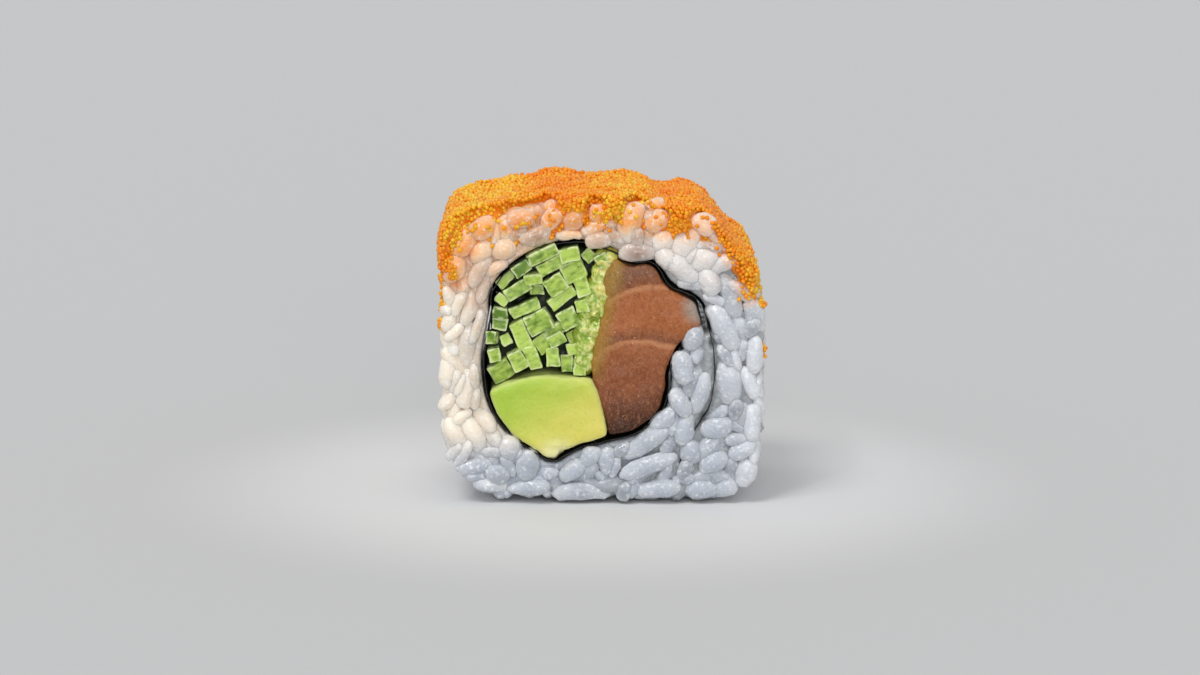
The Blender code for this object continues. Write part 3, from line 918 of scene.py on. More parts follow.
@dataclass
class Swarm:
    """Many copies of small shapes, joined into one mesh with a tone for each copy."""

    name: str
    points: list[np.ndarray] = field(default_factory=list)
    triangles: list[np.ndarray] = field(default_factory=list)
    tones: list[np.ndarray] = field(default_factory=list)
    rim_lights: list[np.ndarray] = field(default_factory=list)
    count: int = 0

    def add(self, shape: Shape, place: Matrix, tone: float, outward: Vector = Vector((0, 0, 1))) -> None:
        """Adds one copy.

        Args:
            shape: The shape.
            place: Its size, turn and place.
            tone: Its tone, from 0 to 1.
            outward: The direction that its top looks in; its sides, turned away from it, get painted rim
                light.
        """
        matrix = np.array(place)
        offsets = shape.points @ matrix[:3, :3].T
        facing = offsets @ np.array(outward) / np.linalg.norm(offsets, axis=1).clip(1e-9)
        self.points.append(offsets + matrix[:3, 3])
        self.triangles.append(shape.triangles + self.count)
        self.tones.append(np.full(len(shape.points), tone))
        self.rim_lights.append(1 - facing.clip(0, 1))
        self.count += len(shape.points)

    def build(self) -> bpy.types.Object:
        """Joins the copies into one object.

        Returns:
            The object, which carries each copy's tone and the painted rim light on its sides.
        """
        mesh = bpy.data.meshes.new(self.name)
        points = np.concatenate(self.points)
        triangles = np.concatenate(self.triangles)
        mesh.from_pydata(points, [], triangles)
        mesh.update()
        set_attribute(mesh, "tone", np.concatenate(self.tones))
        set_attribute(mesh, "rim_light", np.concatenate(self.rim_lights))
        return add_object(self.name, mesh)


def clamp(value: float) -> float:
    """A value held within 0 and 1."""
    return max(0.0, min(1.0, value))


def bumps(x: float, humps: Sequence[Triple]) -> float:
    """The height of a row of soft humps.

    Args:
        x: The place.
        humps: The middle, the reach and the height of each hump.

    Returns:
        Their summed height at x.
    """
    return sum(height * math.exp(-(((x - middle) / reach) ** 2)) for middle, reach, height in humps)


@dataclass
class RollSection:
    """The roll seen along its axis: the rice's rounded outline, and what the fillings and the nori take up.

    The roe's front edge has bites, where rice lies bare on top: each has its place across, its reach and
    its depth in millimetres. The outline's four quarters differ in how square they are.
    """

    bites: tuple[Triple, ...] = (
        (-16.0, 2.0, 3.0),
        (-9.5, 3.2, 4.8),
        (-6.9, 1.3, 2.6),
        (-1.0, 1.2, 3.2),
        (3.9, 1.0, 3.6),
        (6.2, 2.0, 5.6),
        (12.8, 1.4, 3.8),
    )
    bite_start: float = 0.6
    bare_from: float = 0.8
    stand_out: float = 1.4 * MM
    under_rim: float = 0.8 * MM
    under_roe: float = 0.1 * MM
    rim_depth: float = 1.6 * MM
    filling_gap: float = 0.6 * MM
    foot: float = 0.8 * MM
    rise: float = 1.0 * MM
    stain_reach: float = 6.0 * MM
    stain_fade: float = 8.0
    roundness: dict = field(
        default_factory=lambda: {
            (True, True): 3.0,
            (False, True): 4.6,
            (False, False): 4.0,
            (True, False): 5.2,
        }
    )

    def __post_init__(self) -> None:
        """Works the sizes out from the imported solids."""
        low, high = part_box("rice")
        self.low, self.high = low, high
        self.half_width = (high.x - low.x) / 2 - self.stand_out
        self.half_depth = (high.y - low.y) / 2 - self.rise
        self.centre = Vector(((low.x + high.x) / 2, (low.y + high.y) / 2, (low.z + self.foot + high.z) / 2))
        self.half_height = (high.z - low.z - self.foot) / 2
        self.fillings = [self._tree(name) for name in ("fish", "avocado", "cucumber")]
        self.nori_points = self._front_points("nori")
        self.nori_tree = KDTree(len(self.nori_points))
        for index, (x, z) in enumerate(self.nori_points):
            self.nori_tree.insert((x, 0, z), index)
        self.nori_tree.balance()

    @staticmethod
    def _tree(node: str) -> BVHTree:
        """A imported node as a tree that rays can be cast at.

        Args:
            node: The node's name.

        Returns:
            The tree.
        """
        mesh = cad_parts[node].data
        mesh.calc_loop_triangles()
        points = [vertex.co.copy() for vertex in mesh.vertices]
        return BVHTree.FromPolygons(points, [tuple(face.vertices) for face in mesh.loop_triangles])

    @staticmethod
    def _front_points(node: str) -> np.ndarray:
        """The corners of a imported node's front edge, as x and z.

        Args:
            node: The node's name.

        Returns:
            A row of x and z for each corner.
        """
        points = np.array([vertex.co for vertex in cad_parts[node].data.vertices])
        front = points[points[:, 1] < points[:, 1].min() + 0.1 * MM]
        return np.unique(np.round(front[:, [0, 2]], 6), axis=0)

    def outline(self, angle: float, grow: float = 0.0) -> Vector:
        """A point of the core's outline.

        Args:
            angle: The angle about its centre, in degrees.
            grow: How far out of the outline the point lies.

        Returns:
            The point, at the middle of the roll's depth.
        """
        across, up = math.cos(math.radians(angle)), math.sin(math.radians(angle))
        power = self.roundness[across >= 0, up >= 0]
        wide, high = self.half_width + grow, self.half_height + grow
        radius = ((abs(across) / wide) ** power + (abs(up) / high) ** power) ** (-1 / power)
        return self.centre + Vector((radius * across, 0, radius * up))

    def reach(self, angle: float, grow: float = 0.0) -> float:
        """How far from the axis the outline lies at an angle, grown out of the core or not."""
        return (self.outline(angle, grow) - self.centre).length

    def across(self, spot: Vector) -> Vector:
        """The way from the roll's axis to a spot, seen along the roll."""
        return Vector((spot.x, 0, spot.z)) - self.centre

    @staticmethod
    def angle_of(across: Vector) -> float:
        """The angle about the axis at which a way runs out of it, in degrees."""
        return math.degrees(math.atan2(across.z, across.x)) % 360

    def near_roe(self, mesh: bpy.types.Mesh) -> np.ndarray:
        """How near each point of a mesh lies to the roe, from 0, well away, to 1, at its edge.

        Args:
            mesh: The mesh.

        Returns:
            A number for each of its points.
        """
        limits = [self.reach(angle) for angle in range(361)]
        points = np.array([vertex.co for vertex in mesh.vertices])
        across, up = points[:, 0] - self.centre.x, points[:, 2] - self.centre.z
        angles = np.degrees(np.arctan2(up, across)) % 360
        depths = np.interp(angles, range(361), limits) - np.hypot(across, up)
        inwards = 1 - depths / self.stain_reach
        along = np.minimum(angles - ROE_START, ROE_END - angles) / self.stain_fade + 1
        return np.clip(np.minimum(inwards, along), 0, 1)

    def outward(self, angle: float) -> Vector:
        """The direction out of the core at an angle of its outline."""
        along = self.outline(angle + 1) - self.outline(angle - 1)
        return Vector((along.z, 0, -along.x)).normalized()

    def bare(self, spot: Vector) -> float:
        """How far a spot lies before the roe's bitten front edge, in millimetres, below 0 behind it."""
        return bumps(spot.x / MM, self.bites) - self.bite_start - (spot.y - self.low.y) / MM

    def depth_in(self, spot: Vector) -> float:
        """How far a point lies inside the rice's outer side, or inside the roe where that covers it.

        Args:
            spot: The point.

        Returns:
            The depth, below 0 outside.
        """
        across = self.across(spot)
        angle = self.angle_of(across)
        grow = self.stand_out
        if ROE_START < angle < ROE_END and self.bare(spot) < self.bare_from:
            by_rim = abs(spot.y) > self.half_depth - self.rim_depth
            grow = self.under_rim if by_rim else self.under_roe
        return self.reach(angle, grow) - across.length

    def in_fillings(self, x: float, z: float) -> bool:
        """Whether a point of the section lies in one of the fillings, or in a gap between them.

        Args:
            x: The point's place across.
            z: Its height.

        Returns:
            Whether it does, or comes nearer to one than a small gap.
        """
        reach = self.filling_gap
        for step_x, step_z in ((reach, 0), (-reach, 0), (0, reach), (0, -reach)):
            start = Vector((x + step_x, 2 * self.low.y, z + step_z))
            if any(tree.ray_cast(start, Vector((0, 1, 0)))[0] for tree in self.fillings):
                return True
        return False

    def spot_by_nori(self, draw: random.Random, width: float) -> Vector:
        """A point of the section just outside the nori, for a grain that lines it.

        Args:
            draw: The random source.
            width: The grain's greatest width.

        Returns:
            The point.
        """
        x, z = self.nori_points[draw.randrange(len(self.nori_points))]
        outward = (Vector((x, 0, z)) - self.centre).normalized()
        return Vector((x, 0, z)) + outward * width * draw.uniform(0.5, 0.75)

    def nori_distance(self, spot: Vector) -> float:
        """How near a point of the section comes to the nori."""
        return self.nori_tree.find((spot.x, 0, spot.z))[2]


@dataclass(frozen=True)
class FaceGrain:
    """A grain that stands out on the front cut face, or a little behind it, in millimetres and degrees."""

    x: float
    z: float
    length: float
    width: float
    tilt: float
    tone: float = 0.75
    behind: float = 0.0


@dataclass(frozen=True)
class GrainLayer:
    """One pass of grains, in millimetres: their sizes, their depth and how tightly they are packed."""

    lengths: tuple[float, float]
    widths: tuple[float, float]
    depth: float
    squeeze: float
    tries: int


@dataclass
class LaidGrains:
    """The grains laid so far, as round-ended rods: middle, direction, half length and radius of each."""

    rods: np.ndarray = field(default_factory=lambda: np.zeros((0, 8)))

    def add(self, centre: Vector, along: Vector, length: float, width: float) -> None:
        """Remembers a grain."""
        rod = np.array((*centre, *along, max(0.0, (length - width) / 2), width / 2))
        self.rods = np.vstack((self.rods, rod))

    def has_room(self, centre: Vector, along: Vector, length: float, width: float, squeeze: float) -> bool:
        """Whether a new grain keeps off all the others.

        Args:
            centre: The new grain's middle.
            along: Its long direction.
            length: Its length.
            width: Its width.
            squeeze: The share of their widths that neighbours keep apart.

        Returns:
            Whether it has room.
        """
        half = max(0.0, (length - width) / 2)
        own = np.array(along)
        gap = np.array(centre) - self.rods[:, :3]
        directions, halves, radii = self.rods[:, 3:6], self.rods[:, 6], self.rods[:, 7]
        lean = directions @ own
        ahead = gap @ own
        behind = (gap * directions).sum(axis=1)
        spread = np.maximum(1 - lean**2, 1e-6)
        reach = np.clip((lean * behind - ahead) / spread, -half, half)
        theirs = np.clip(reach * lean + behind, -halves, halves)
        reach = np.clip(theirs * lean - ahead, -half, half)
        between = gap + reach[:, None] * own - theirs[:, None] * directions
        return bool((np.linalg.norm(between, axis=1) > (radii + width / 2) * squeeze).all())


@dataclass
class RicePile:
    """The rice: a mass of fused grains, and separate grains packed over its cut faces and flanks.

    The depths, the reaches and the scatter of the separate grains are in millimetres, and their angles in
    degrees. The face grains are the ones that the front cut face is known by, and the layers fill the rest.
    """

    section: RollSection
    seed: int = 5
    mass_voxel: float = 0.4 * MM
    mass_half_depth: float = 11.6 * MM
    mass_swell: float = 0.16 * MM
    lining: float = 0.9 * MM
    lining_width: float = 2.0 * MM
    dents: float = 0.75 * MM
    face_lean: float = 8.0
    face_sink: float = 0.46
    cover: float = 0.48
    steepness: float = 14.0
    scatter: float = 0.3
    tones: Pair = (0.08, 1.0)
    face_reach: Pair = (1.0, 13.0)
    flank_margin: float = 1.2 * MM
    bare_angles: Pair = (50, 140)
    bare_depths: Pair = (1.2, 6.0)
    bare_heights: Pair = (0.7, 1.0)
    under_layer: GrainLayer = GrainLayer((4.0, 6.4), (2.0, 2.7), 0.8, 0.52, 6000)
    top_layers: tuple[GrainLayer, ...] = (
        GrainLayer((5.6, 7.8), (2.3, 3.0), 0.0, 0.58, 5000),
        GrainLayer((4.4, 6.2), (2.0, 2.6), 0.1, 0.5, 6000),
        GrainLayer((3.0, 4.8), (1.5, 2.1), 0.2, 0.46, 8000),
    )
    nori_share: float = 0.4
    face_grains: tuple[FaceGrain, ...] = (
        FaceGrain(-2.6, 1.6, 7.9, 2.4, 0, 0.5),
        FaceGrain(-9.2, 2.0, 6.0, 2.4, 5),
        FaceGrain(-3.6, 4.4, 4.6, 2.6, 35, 0.9),
        FaceGrain(-1.6, 6.2, 3.6, 2.4, 40, 0.9),
        FaceGrain(0.6, 5.6, 3.8, 2.4, 90),
        FaceGrain(5.6, 8.0, 8.0, 2.8, 35),
        FaceGrain(5.8, 4.8, 8.4, 2.8, 20, 1.0),
        FaceGrain(7.3, 1.9, 6.3, 2.7, 5),
        FaceGrain(12.6, 1.9, 5.0, 3.2, 0),
        FaceGrain(15.8, 2.1, 3.4, 2.6, 20),
        FaceGrain(18.2, 4.0, 4.2, 2.9, 60),
        FaceGrain(14.2, 5.3, 4.6, 2.8, 30),
        FaceGrain(11.3, 6.7, 3.7, 3.1, 90),
        FaceGrain(14.6, 9.8, 4.7, 3.0, 15, 1.0),
        FaceGrain(17.8, 7.0, 4.0, 2.6, 25),
        FaceGrain(19.0, 10.6, 5.0, 2.6, 85),
        FaceGrain(10.2, 17.6, 4.5, 3.4, 100),
        FaceGrain(11.6, 21.6, 4.2, 2.8, 80, 0.5),
        FaceGrain(15.4, 22.8, 7.4, 3.1, -62, 0.9),
        FaceGrain(16.2, 15.6, 6.4, 3.6, 92, 0.9),
        FaceGrain(19.3, 19.2, 5.4, 2.5, 90),
        FaceGrain(12.5, 14.2, 6.0, 2.5, 75),
        FaceGrain(10.0, 13.0, 4.6, 2.6, -65),
        FaceGrain(10.6, 9.6, 4.8, 2.8, 80),
        FaceGrain(7.8, 10.8, 4.4, 2.6, 50),
        FaceGrain(-18.5, 30.4, 4.2, 2.8, 82, 0.9),
        FaceGrain(-17.4, 33.4, 4.4, 3.0, 55, 0.9),
        FaceGrain(-15.0, 35.3, 4.2, 3.0, 30, 0.9),
        FaceGrain(-15.2, 32.4, 4.0, 3.0, 42, 0.9),
        FaceGrain(-12.3, 32.7, 3.8, 3.1, 10),
        FaceGrain(-8.2, 34.4, 4.6, 2.5, 20, 0.2),
        FaceGrain(-10.2, 36.6, 4.4, 2.8, 10, 0.6),
        FaceGrain(-6.3, 36.5, 3.2, 2.7, 50, 0.8),
        FaceGrain(-6.5, 37.5, 2.9, 2.6, 20, 0.8, 2.0),
        FaceGrain(-7.3, 36.9, 3.2, 2.4, -20, 0.7, 4.0),
        FaceGrain(-3.6, 36.5, 3.8, 3.0, 70, 0.6),
        FaceGrain(-0.4, 37.1, 3.2, 2.8, 60, 0.9, 0.4),
        FaceGrain(-0.4, 34.0, 3.4, 2.5, 10, 0.4),
        FaceGrain(3.5, 36.2, 5.6, 3.4, 72, 0.9),
        FaceGrain(6.9, 36.3, 3.6, 2.9, 30, 0.9),
        FaceGrain(6.4, 37.5, 3.6, 3.1, 30, 0.9, 1.8),
        FaceGrain(7.6, 36.9, 3.4, 2.6, -30, 0.8, 4.0),
        FaceGrain(4.5, 32.3, 4.8, 2.7, 4, 0.0),
        FaceGrain(7.7, 33.8, 3.8, 3.4, 40, 0.8),
        FaceGrain(10.4, 33.6, 5.4, 3.8, 60, 1.0),
        FaceGrain(12.9, 31.6, 5.6, 4.0, 35, 1.0),
        FaceGrain(10.2, 30.2, 5.4, 3.7, -42, 1.0),
        FaceGrain(8.2, 31.6, 3.6, 2.8, -45, 1.0),
        FaceGrain(12.9, 35.9, 3.8, 2.9, -30, 0.8),
        FaceGrain(13.6, 28.6, 4.4, 3.0, -60, 0.9),
        FaceGrain(-11.8, 7.1, 3.9, 3.4, 60),
        FaceGrain(-13.2, 3.8, 3.6, 2.6, 10, 0.2),
        FaceGrain(-9.4, 4.9, 4.6, 3.2, 75, 0.5),
        FaceGrain(2.8, 1.7, 2.8, 2.0, 80, 0.0),
        FaceGrain(16.9, 12.2, 3.0, 2.0, 75, 0.0),
        FaceGrain(10.6, 4.4, 3.0, 2.0, 60, 0.0),
    )

    def __post_init__(self) -> None:
        """Starts with no grain laid."""
        self.laid = LaidGrains()
        self.draw = random.Random(self.seed)
        self.shapes: list[Shape] = []
        self.surface: Optional[BVHTree] = None

    def build(self) -> Iterator[bpy.types.Object]:
        """Builds the mass and the grains.

        Returns:
            The finished pieces.
        """
        self.shapes = [self.model_grain(turn) for turn in range(5)]
        grains = self.make_grains()
        mass = self.make_mass()
        self.surface = tree_of((*grains, mass))
        # The bed under the grains takes painted shade between them.
        finishes = (RiceFinish("rice_bed", hollow_shade=0.45), RiceFinish(), RiceFinish("rice_flanks"))
        for piece, finish in zip((mass, *grains), finishes):
            set_attribute(piece.data, "near_roe", self.section.near_roe(piece.data))
            finish_piece(piece, finish.make(), "rice")
            yield piece

    def make_grains(self) -> list[bpy.types.Object]:
        """Lays the grains that show, each a little dented.

        Returns:
            The grains of the cut faces and those of the flanks.
        """
        faces, flanks = Swarm("rice_grains"), Swarm("rice_flank_grains")
        for grain in self.face_grains:
            self.lay_face_grain(faces, grain)
        for layer in self.top_layers:
            self.fill_faces(faces, layer)
            self.fill_flanks(flanks, layer)
            self.fill_bare_top(flanks, layer)
        dents = cloud_texture("grain_dents", 1.9 * MM, 1)
        grains = [swarm.build() for swarm in (faces, flanks)]
        for piece in grains:
            ripple(piece, self.dents, dents)
            for vertex in piece.data.vertices:
                vertex.co.z = max(vertex.co.z, self.section.low.z)
        return grains

    def make_mass(self) -> bpy.types.Object:
        """Models the mass under the grains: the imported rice, drawn in, with grains fused to it.

        Returns:
            The mass.
        """
        core = copy_of("rice", "rice_mass")
        remesh(core, self.mass_voxel, 3)
        swell(core, self.mass_swell)
        self.draw_in(core)
        swarm = Swarm("under_grains")
        self.laid = LaidGrains()
        self.fill_faces(swarm, self.under_layer)
        self.fill_flanks(swarm, self.under_layer)
        under = swarm.build()
        activate(core)
        under.select_set(True)
        bpy.ops.object.join()
        remesh(core, self.mass_voxel, 2)
        fill_attribute(core.data, "tone", 0.5)
        # An even touch of painted rim light over the whole mass.
        fill_attribute(core.data, "rim_light", 0.2)
        return core

    def draw_in(self, core: bpy.types.Object) -> None:
        """Presses a piece's outer sides in to the plain block under the grains.

        Args:
            core: The piece.
        """
        section = self.section
        for vertex in core.data.vertices:
            lining = 1 - min(1.0, section.nori_distance(vertex.co) / self.lining_width)
            limit = self.mass_half_depth + self.lining * lining
            vertex.co.y = max(-limit, min(limit, vertex.co.y))
            across = section.across(vertex.co)
            limit = section.reach(section.angle_of(across))
            if across.length > limit:
                pressed = section.centre + across * (limit / across.length)
                vertex.co.x, vertex.co.z = pressed.x, pressed.z

    def model_grain(self, turn: int) -> Shape:
        """One cooked grain of unit length and width along Z: plump, blunt, a little bent and uneven.

        Args:
            turn: The number of the variant.

        Returns:
            The modelled grain.
        """
        deselect()
        bpy.ops.mesh.primitive_uv_sphere_add(segments=10, ring_count=8, radius=0.5)
        grain = bpy.context.active_object
        edit(grain, lambda: bpy.ops.transform.vertex_random(offset=0.03, seed=turn))
        for side in (-1, 1):
            activate(grain)
            bpy.ops.object.mode_set(mode="EDIT")
            bpy.ops.mesh.select_all(action="DESELECT")
            bpy.ops.object.mode_set(mode="OBJECT")
            for vertex in grain.data.vertices:
                vertex.select = vertex.co.z * side > 0.2
            bpy.ops.object.mode_set(mode="EDIT")
            bpy.ops.transform.translate(value=(0.05 * (turn - 2), 0.02 * side, 0))
            bpy.ops.object.mode_set(mode="OBJECT")
        modify(grain, "CAST", cast_type="CUBOID", factor=0.1 + 0.04 * turn)
        modify(grain, "SMOOTH", factor=0.4, iterations=2)
        return Shape.taken_from(grain)

    def lay_face_grain(self, swarm: Swarm, grain: FaceGrain) -> None:
        """Lays one of the grains that the front face is known by.

        Args:
            swarm: The grains so far.
            grain: The grain.
        """
        turn = math.radians(grain.tilt)
        lean = math.radians(self.draw.uniform(-self.face_lean, self.face_lean))
        flat = math.cos(lean)
        along = Vector((math.cos(turn) * flat, math.sin(lean), math.sin(turn) * flat))
        width = grain.width * MM
        behind = (grain.behind + self.draw.uniform(0, self.scatter)) * MM
        depth = self.section.low.y + width * self.face_sink + behind
        centre = Vector((grain.x * MM, depth, grain.z * MM))
        self.place(swarm, centre, along, grain.length * MM, width, grain.tone, Vector((0, -1, 0)))

    def place(
        self,
        swarm: Swarm,
        centre: Vector,
        along: Vector,
        length: float,
        width: float,
        tone: float,
        outward: Vector,
    ) -> None:
        """Adds a grain to the swarm and remembers it.

        Args:
            swarm: The grains so far.
            centre: The grain's middle.
            along: Its long direction.
            length: Its length.
            width: Its width.
            tone: Its tone, from 0, glassy, to 1, milky.
            outward: The direction out of the rice.
        """
        self.laid.add(centre, along, length, width)
        spin = Matrix.Rotation(self.draw.uniform(0, math.tau), 4, "Z")
        turn = along.to_track_quat("Z", "Y").to_matrix().to_4x4() @ spin
        size = Matrix.Diagonal((width * 1.08, width * 0.98, length, 1))
        shape = self.draw.choice(self.shapes)
        swarm.add(shape, Matrix.Translation(centre) @ turn @ size, tone, outward)

    def try_grain(self, swarm: Swarm, spot: Vector, outward: Vector, layer: GrainLayer) -> None:
        """Lays a grain at a spot of the surface if it has room there.

        Args:
            swarm: The grains so far.
            spot: A point of the outermost surface.
            outward: The direction out of the rice there.
            layer: The sizes and the depth.
        """
        draw = self.draw
        length = draw.uniform(*layer.lengths) * MM
        width = draw.uniform(*layer.widths) * MM
        side = outward.orthogonal().normalized()
        side.rotate(Matrix.Rotation(draw.uniform(0, math.tau), 3, outward))
        steep = math.radians(draw.gauss(0, self.steepness))
        along = side * math.cos(steep) + outward * math.sin(steep)
        sink = width / 2 + abs(math.sin(steep)) * (length - width) / 2
        centre = spot - outward * (sink + (layer.depth + draw.uniform(0, self.scatter)) * MM)
        free = self.laid.has_room(centre, along, length, width, layer.squeeze)
        if free and self.in_room(centre, along, length, width):
            self.place(swarm, centre, along, length, width, draw.uniform(*self.tones), outward)

    def in_room(self, centre: Vector, along: Vector, length: float, width: float) -> bool:
        """Whether a grain stays in the rice: off the fillings, the nori and the roe.

        Args:
            centre: The grain's middle.
            along: Its long direction.
            length: Its length.
            width: Its width.

        Returns:
            Whether it does, and stays inside the piece as well.
        """
        section = self.section
        reach = along * ((length - width) / 2)
        spots = [centre + reach * share for share in (-1, -0.5, 0, 0.5, 1)]
        for spot in (spots[0], spots[-1]):
            if not section.low.y + width / 2 < spot.y < section.high.y - width / 2:
                return False
            if spot.z < section.low.z + width / 2 or section.depth_in(spot) < width * self.cover:
                return False
        if min(section.nori_distance(spot) for spot in spots) < width / 2 + 0.05 * MM:
            return False
        return not any(section.in_fillings(spot.x, spot.z) for spot in spots)

    def fill_faces(self, swarm: Swarm, layer: GrainLayer) -> None:
        """Packs both cut faces with a layer of grains.

        Args:
            swarm: The grains so far.
            layer: The layer.
        """
        section, draw = self.section, self.draw
        for side, y in ((-1, section.low.y), (1, section.high.y)):
            for _ in range(layer.tries):
                if draw.random() < self.nori_share:
                    spot = section.spot_by_nori(draw, layer.widths[1] * MM)
                else:
                    edge = section.outline(draw.uniform(0, 360), section.stand_out) - section.centre
                    inset = draw.uniform(*self.face_reach) * MM
                    spot = section.centre + edge * (1 - inset / edge.length)
                self.try_grain(swarm, Vector((spot.x, y, spot.z)), Vector((0, side, 0)), layer)

    def fill_flanks(self, swarm: Swarm, layer: GrainLayer) -> None:
        """Packs the flanks and the underside with a layer of grains.

        Args:
            swarm: The grains so far.
            layer: The layer.
        """
        section, draw = self.section, self.draw
        for _ in range(2 * layer.tries):
            angle = draw.uniform(ROE_END, 360 + ROE_START) % 360
            spot = section.outline(angle, section.stand_out)
            spot.z = max(spot.z, section.low.z)
            spot.y = draw.uniform(section.low.y + self.flank_margin, section.high.y - self.flank_margin)
            self.try_grain(swarm, spot, section.outward(angle), layer)

    def fill_bare_top(self, swarm: Swarm, layer: GrainLayer) -> None:
        """Packs the front of the top, where the roe's edge lies back, with a layer of grains.

        Args:
            swarm: The grains so far.
            layer: The layer.
        """
        section, draw = self.section, self.draw
        for _ in range(layer.tries // 4):
            angle = draw.uniform(*self.bare_angles)
            spot = section.outline(angle, draw.uniform(*self.bare_heights) * section.stand_out)
            spot.y = section.low.y + draw.uniform(*self.bare_depths) * MM
            if section.bare(spot) > section.bare_from:
                self.try_grain(swarm, spot, section.outward(angle), layer)


@dataclass
class NoriSheet:
    """The nori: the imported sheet, thinned, crinkled, and drawn back a little from both cut faces."""

    waves: float = 0.5 * MM
    thinning: float = 0.2 * MM
    depth_share: float = 0.965
    cuts: int = 22

    def build(self) -> Iterator[bpy.types.Object]:
        """Builds the sheet.

        Returns:
            The sheet, as the only piece.
        """
        sheet = copy_of("nori", "nori_sheet")
        low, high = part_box("nori")
        edit(sheet, bpy.ops.mesh.tris_convert_to_quads)
        for step in range(1, self.cuts):
            level = low.y + (high.y - low.y) * step / self.cuts
            edit(sheet, lambda: bpy.ops.mesh.bisect(plane_co=(0, level, 0), plane_no=(0, 1, 0)))
        size = (1, self.depth_share, 1)
        edit(sheet, lambda: bpy.ops.transform.resize(value=size, center_override=(0, 0, 0)))
        modify(sheet, "SUBSURF", subdivision_type="SIMPLE", levels=1, render_levels=1)
        swell(sheet, -self.thinning)
        crumple(sheet, self.waves, cloud_texture("nori_waves", 3.0 * MM, 2, coloured=True))
        finish_piece(sheet, NoriFinish().make(), "nori")
        yield sheet


@dataclass
class FishBlock:
    """The fish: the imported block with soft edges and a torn, fibrous cut face."""

    voxel: float = 0.35 * MM
    growth: float = 0.14 * MM
    rise: float = 0.5 * MM
    fibres: float = 0.2 * MM

    def build(self) -> Iterator[bpy.types.Object]:
        """Builds the block.

        Returns:
            The block, as the only piece.
        """
        block = copy_of("fish", "fish_block")
        remesh(block, self.voxel, 3)
        swell(block, self.growth)
        ripple(block, self.rise, cloud_texture("fish_rise", 3 * MM))
        ripple(block, self.fibres, cloud_texture("fish_fibre", 0.9 * MM, 2))
        finish_piece(block, FishFinish().make(), "fish")
        yield block


@dataclass
class AvocadoWedge:
    """The avocado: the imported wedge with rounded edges, a smeared cut face and a lumpy tip at its foot."""

    voxel: float = 0.35 * MM
    growth: float = 0.14 * MM
    smear: float = 0.5 * MM
    grain: float = 0.12 * MM
    bulge: float = 0.3 * MM
    lumps: float = 0.9 * MM
    lump_size: float = 1.1 * MM
    tip: Pair = (-5.6 * MM, 5.2 * MM)
    tip_reach: float = 2.6 * MM

    def build(self) -> Iterator[bpy.types.Object]:
        """Builds the wedge.

        Returns:
            The wedge, as the only piece.
        """
        wedge = copy_of("avocado", "avocado_wedge")
        remesh(wedge, self.voxel, 4)
        swell(wedge, self.growth)
        ripple(wedge, self.smear, cloud_texture("avocado_smear", 3.2 * MM))
        ripple(wedge, self.grain, cloud_texture("avocado_fine", 0.7 * MM))
        self.press_out(wedge)
        # How much painted highlight each point gets, more where the surface turns away from the cut faces.
        rim_lights = [(1 - abs(vertex.normal.y)) * 2 for vertex in wedge.data.vertices]
        set_attribute(wedge.data, "rim_light", [min(1.0, rim_light) for rim_light in rim_lights])
        finish_piece(wedge, AvocadoFinish().make(), "avocado")
        yield wedge

    def press_out(self, wedge: bpy.types.Object) -> None:
        """Presses the wedge's left side out towards the nori and gives its tip lumps.

        Args:
            wedge: The wedge.
        """
        moves = []
        for vertex in wedge.data.vertices:
            push = self.bulge * max(0.0, -vertex.normal.x)
            away = math.hypot(vertex.co.x - self.tip[0], vertex.co.z - self.tip[1]) / self.tip_reach
            push += self.lumps * noise.noise(vertex.co / self.lump_size) * math.exp(-away * away)
            moves.append(vertex.normal * push)
        for vertex, move in zip(wedge.data.vertices, moves):
            vertex.co += move


class Tone(Enum):
    """How light a cucumber stick is."""

    DARK = 0.1
    DULL = 0.35
    MID = 0.55
    LIGHT = 0.75
    PALE = 1.0


@dataclass(frozen=True)
class Stick:
    """A cucumber stick, in millimetres and degrees, with its middle given from the filling's centre."""

    across: float
    up: float
    width: float
    height: float
    tilt: float
    tone: Tone = Tone.MID


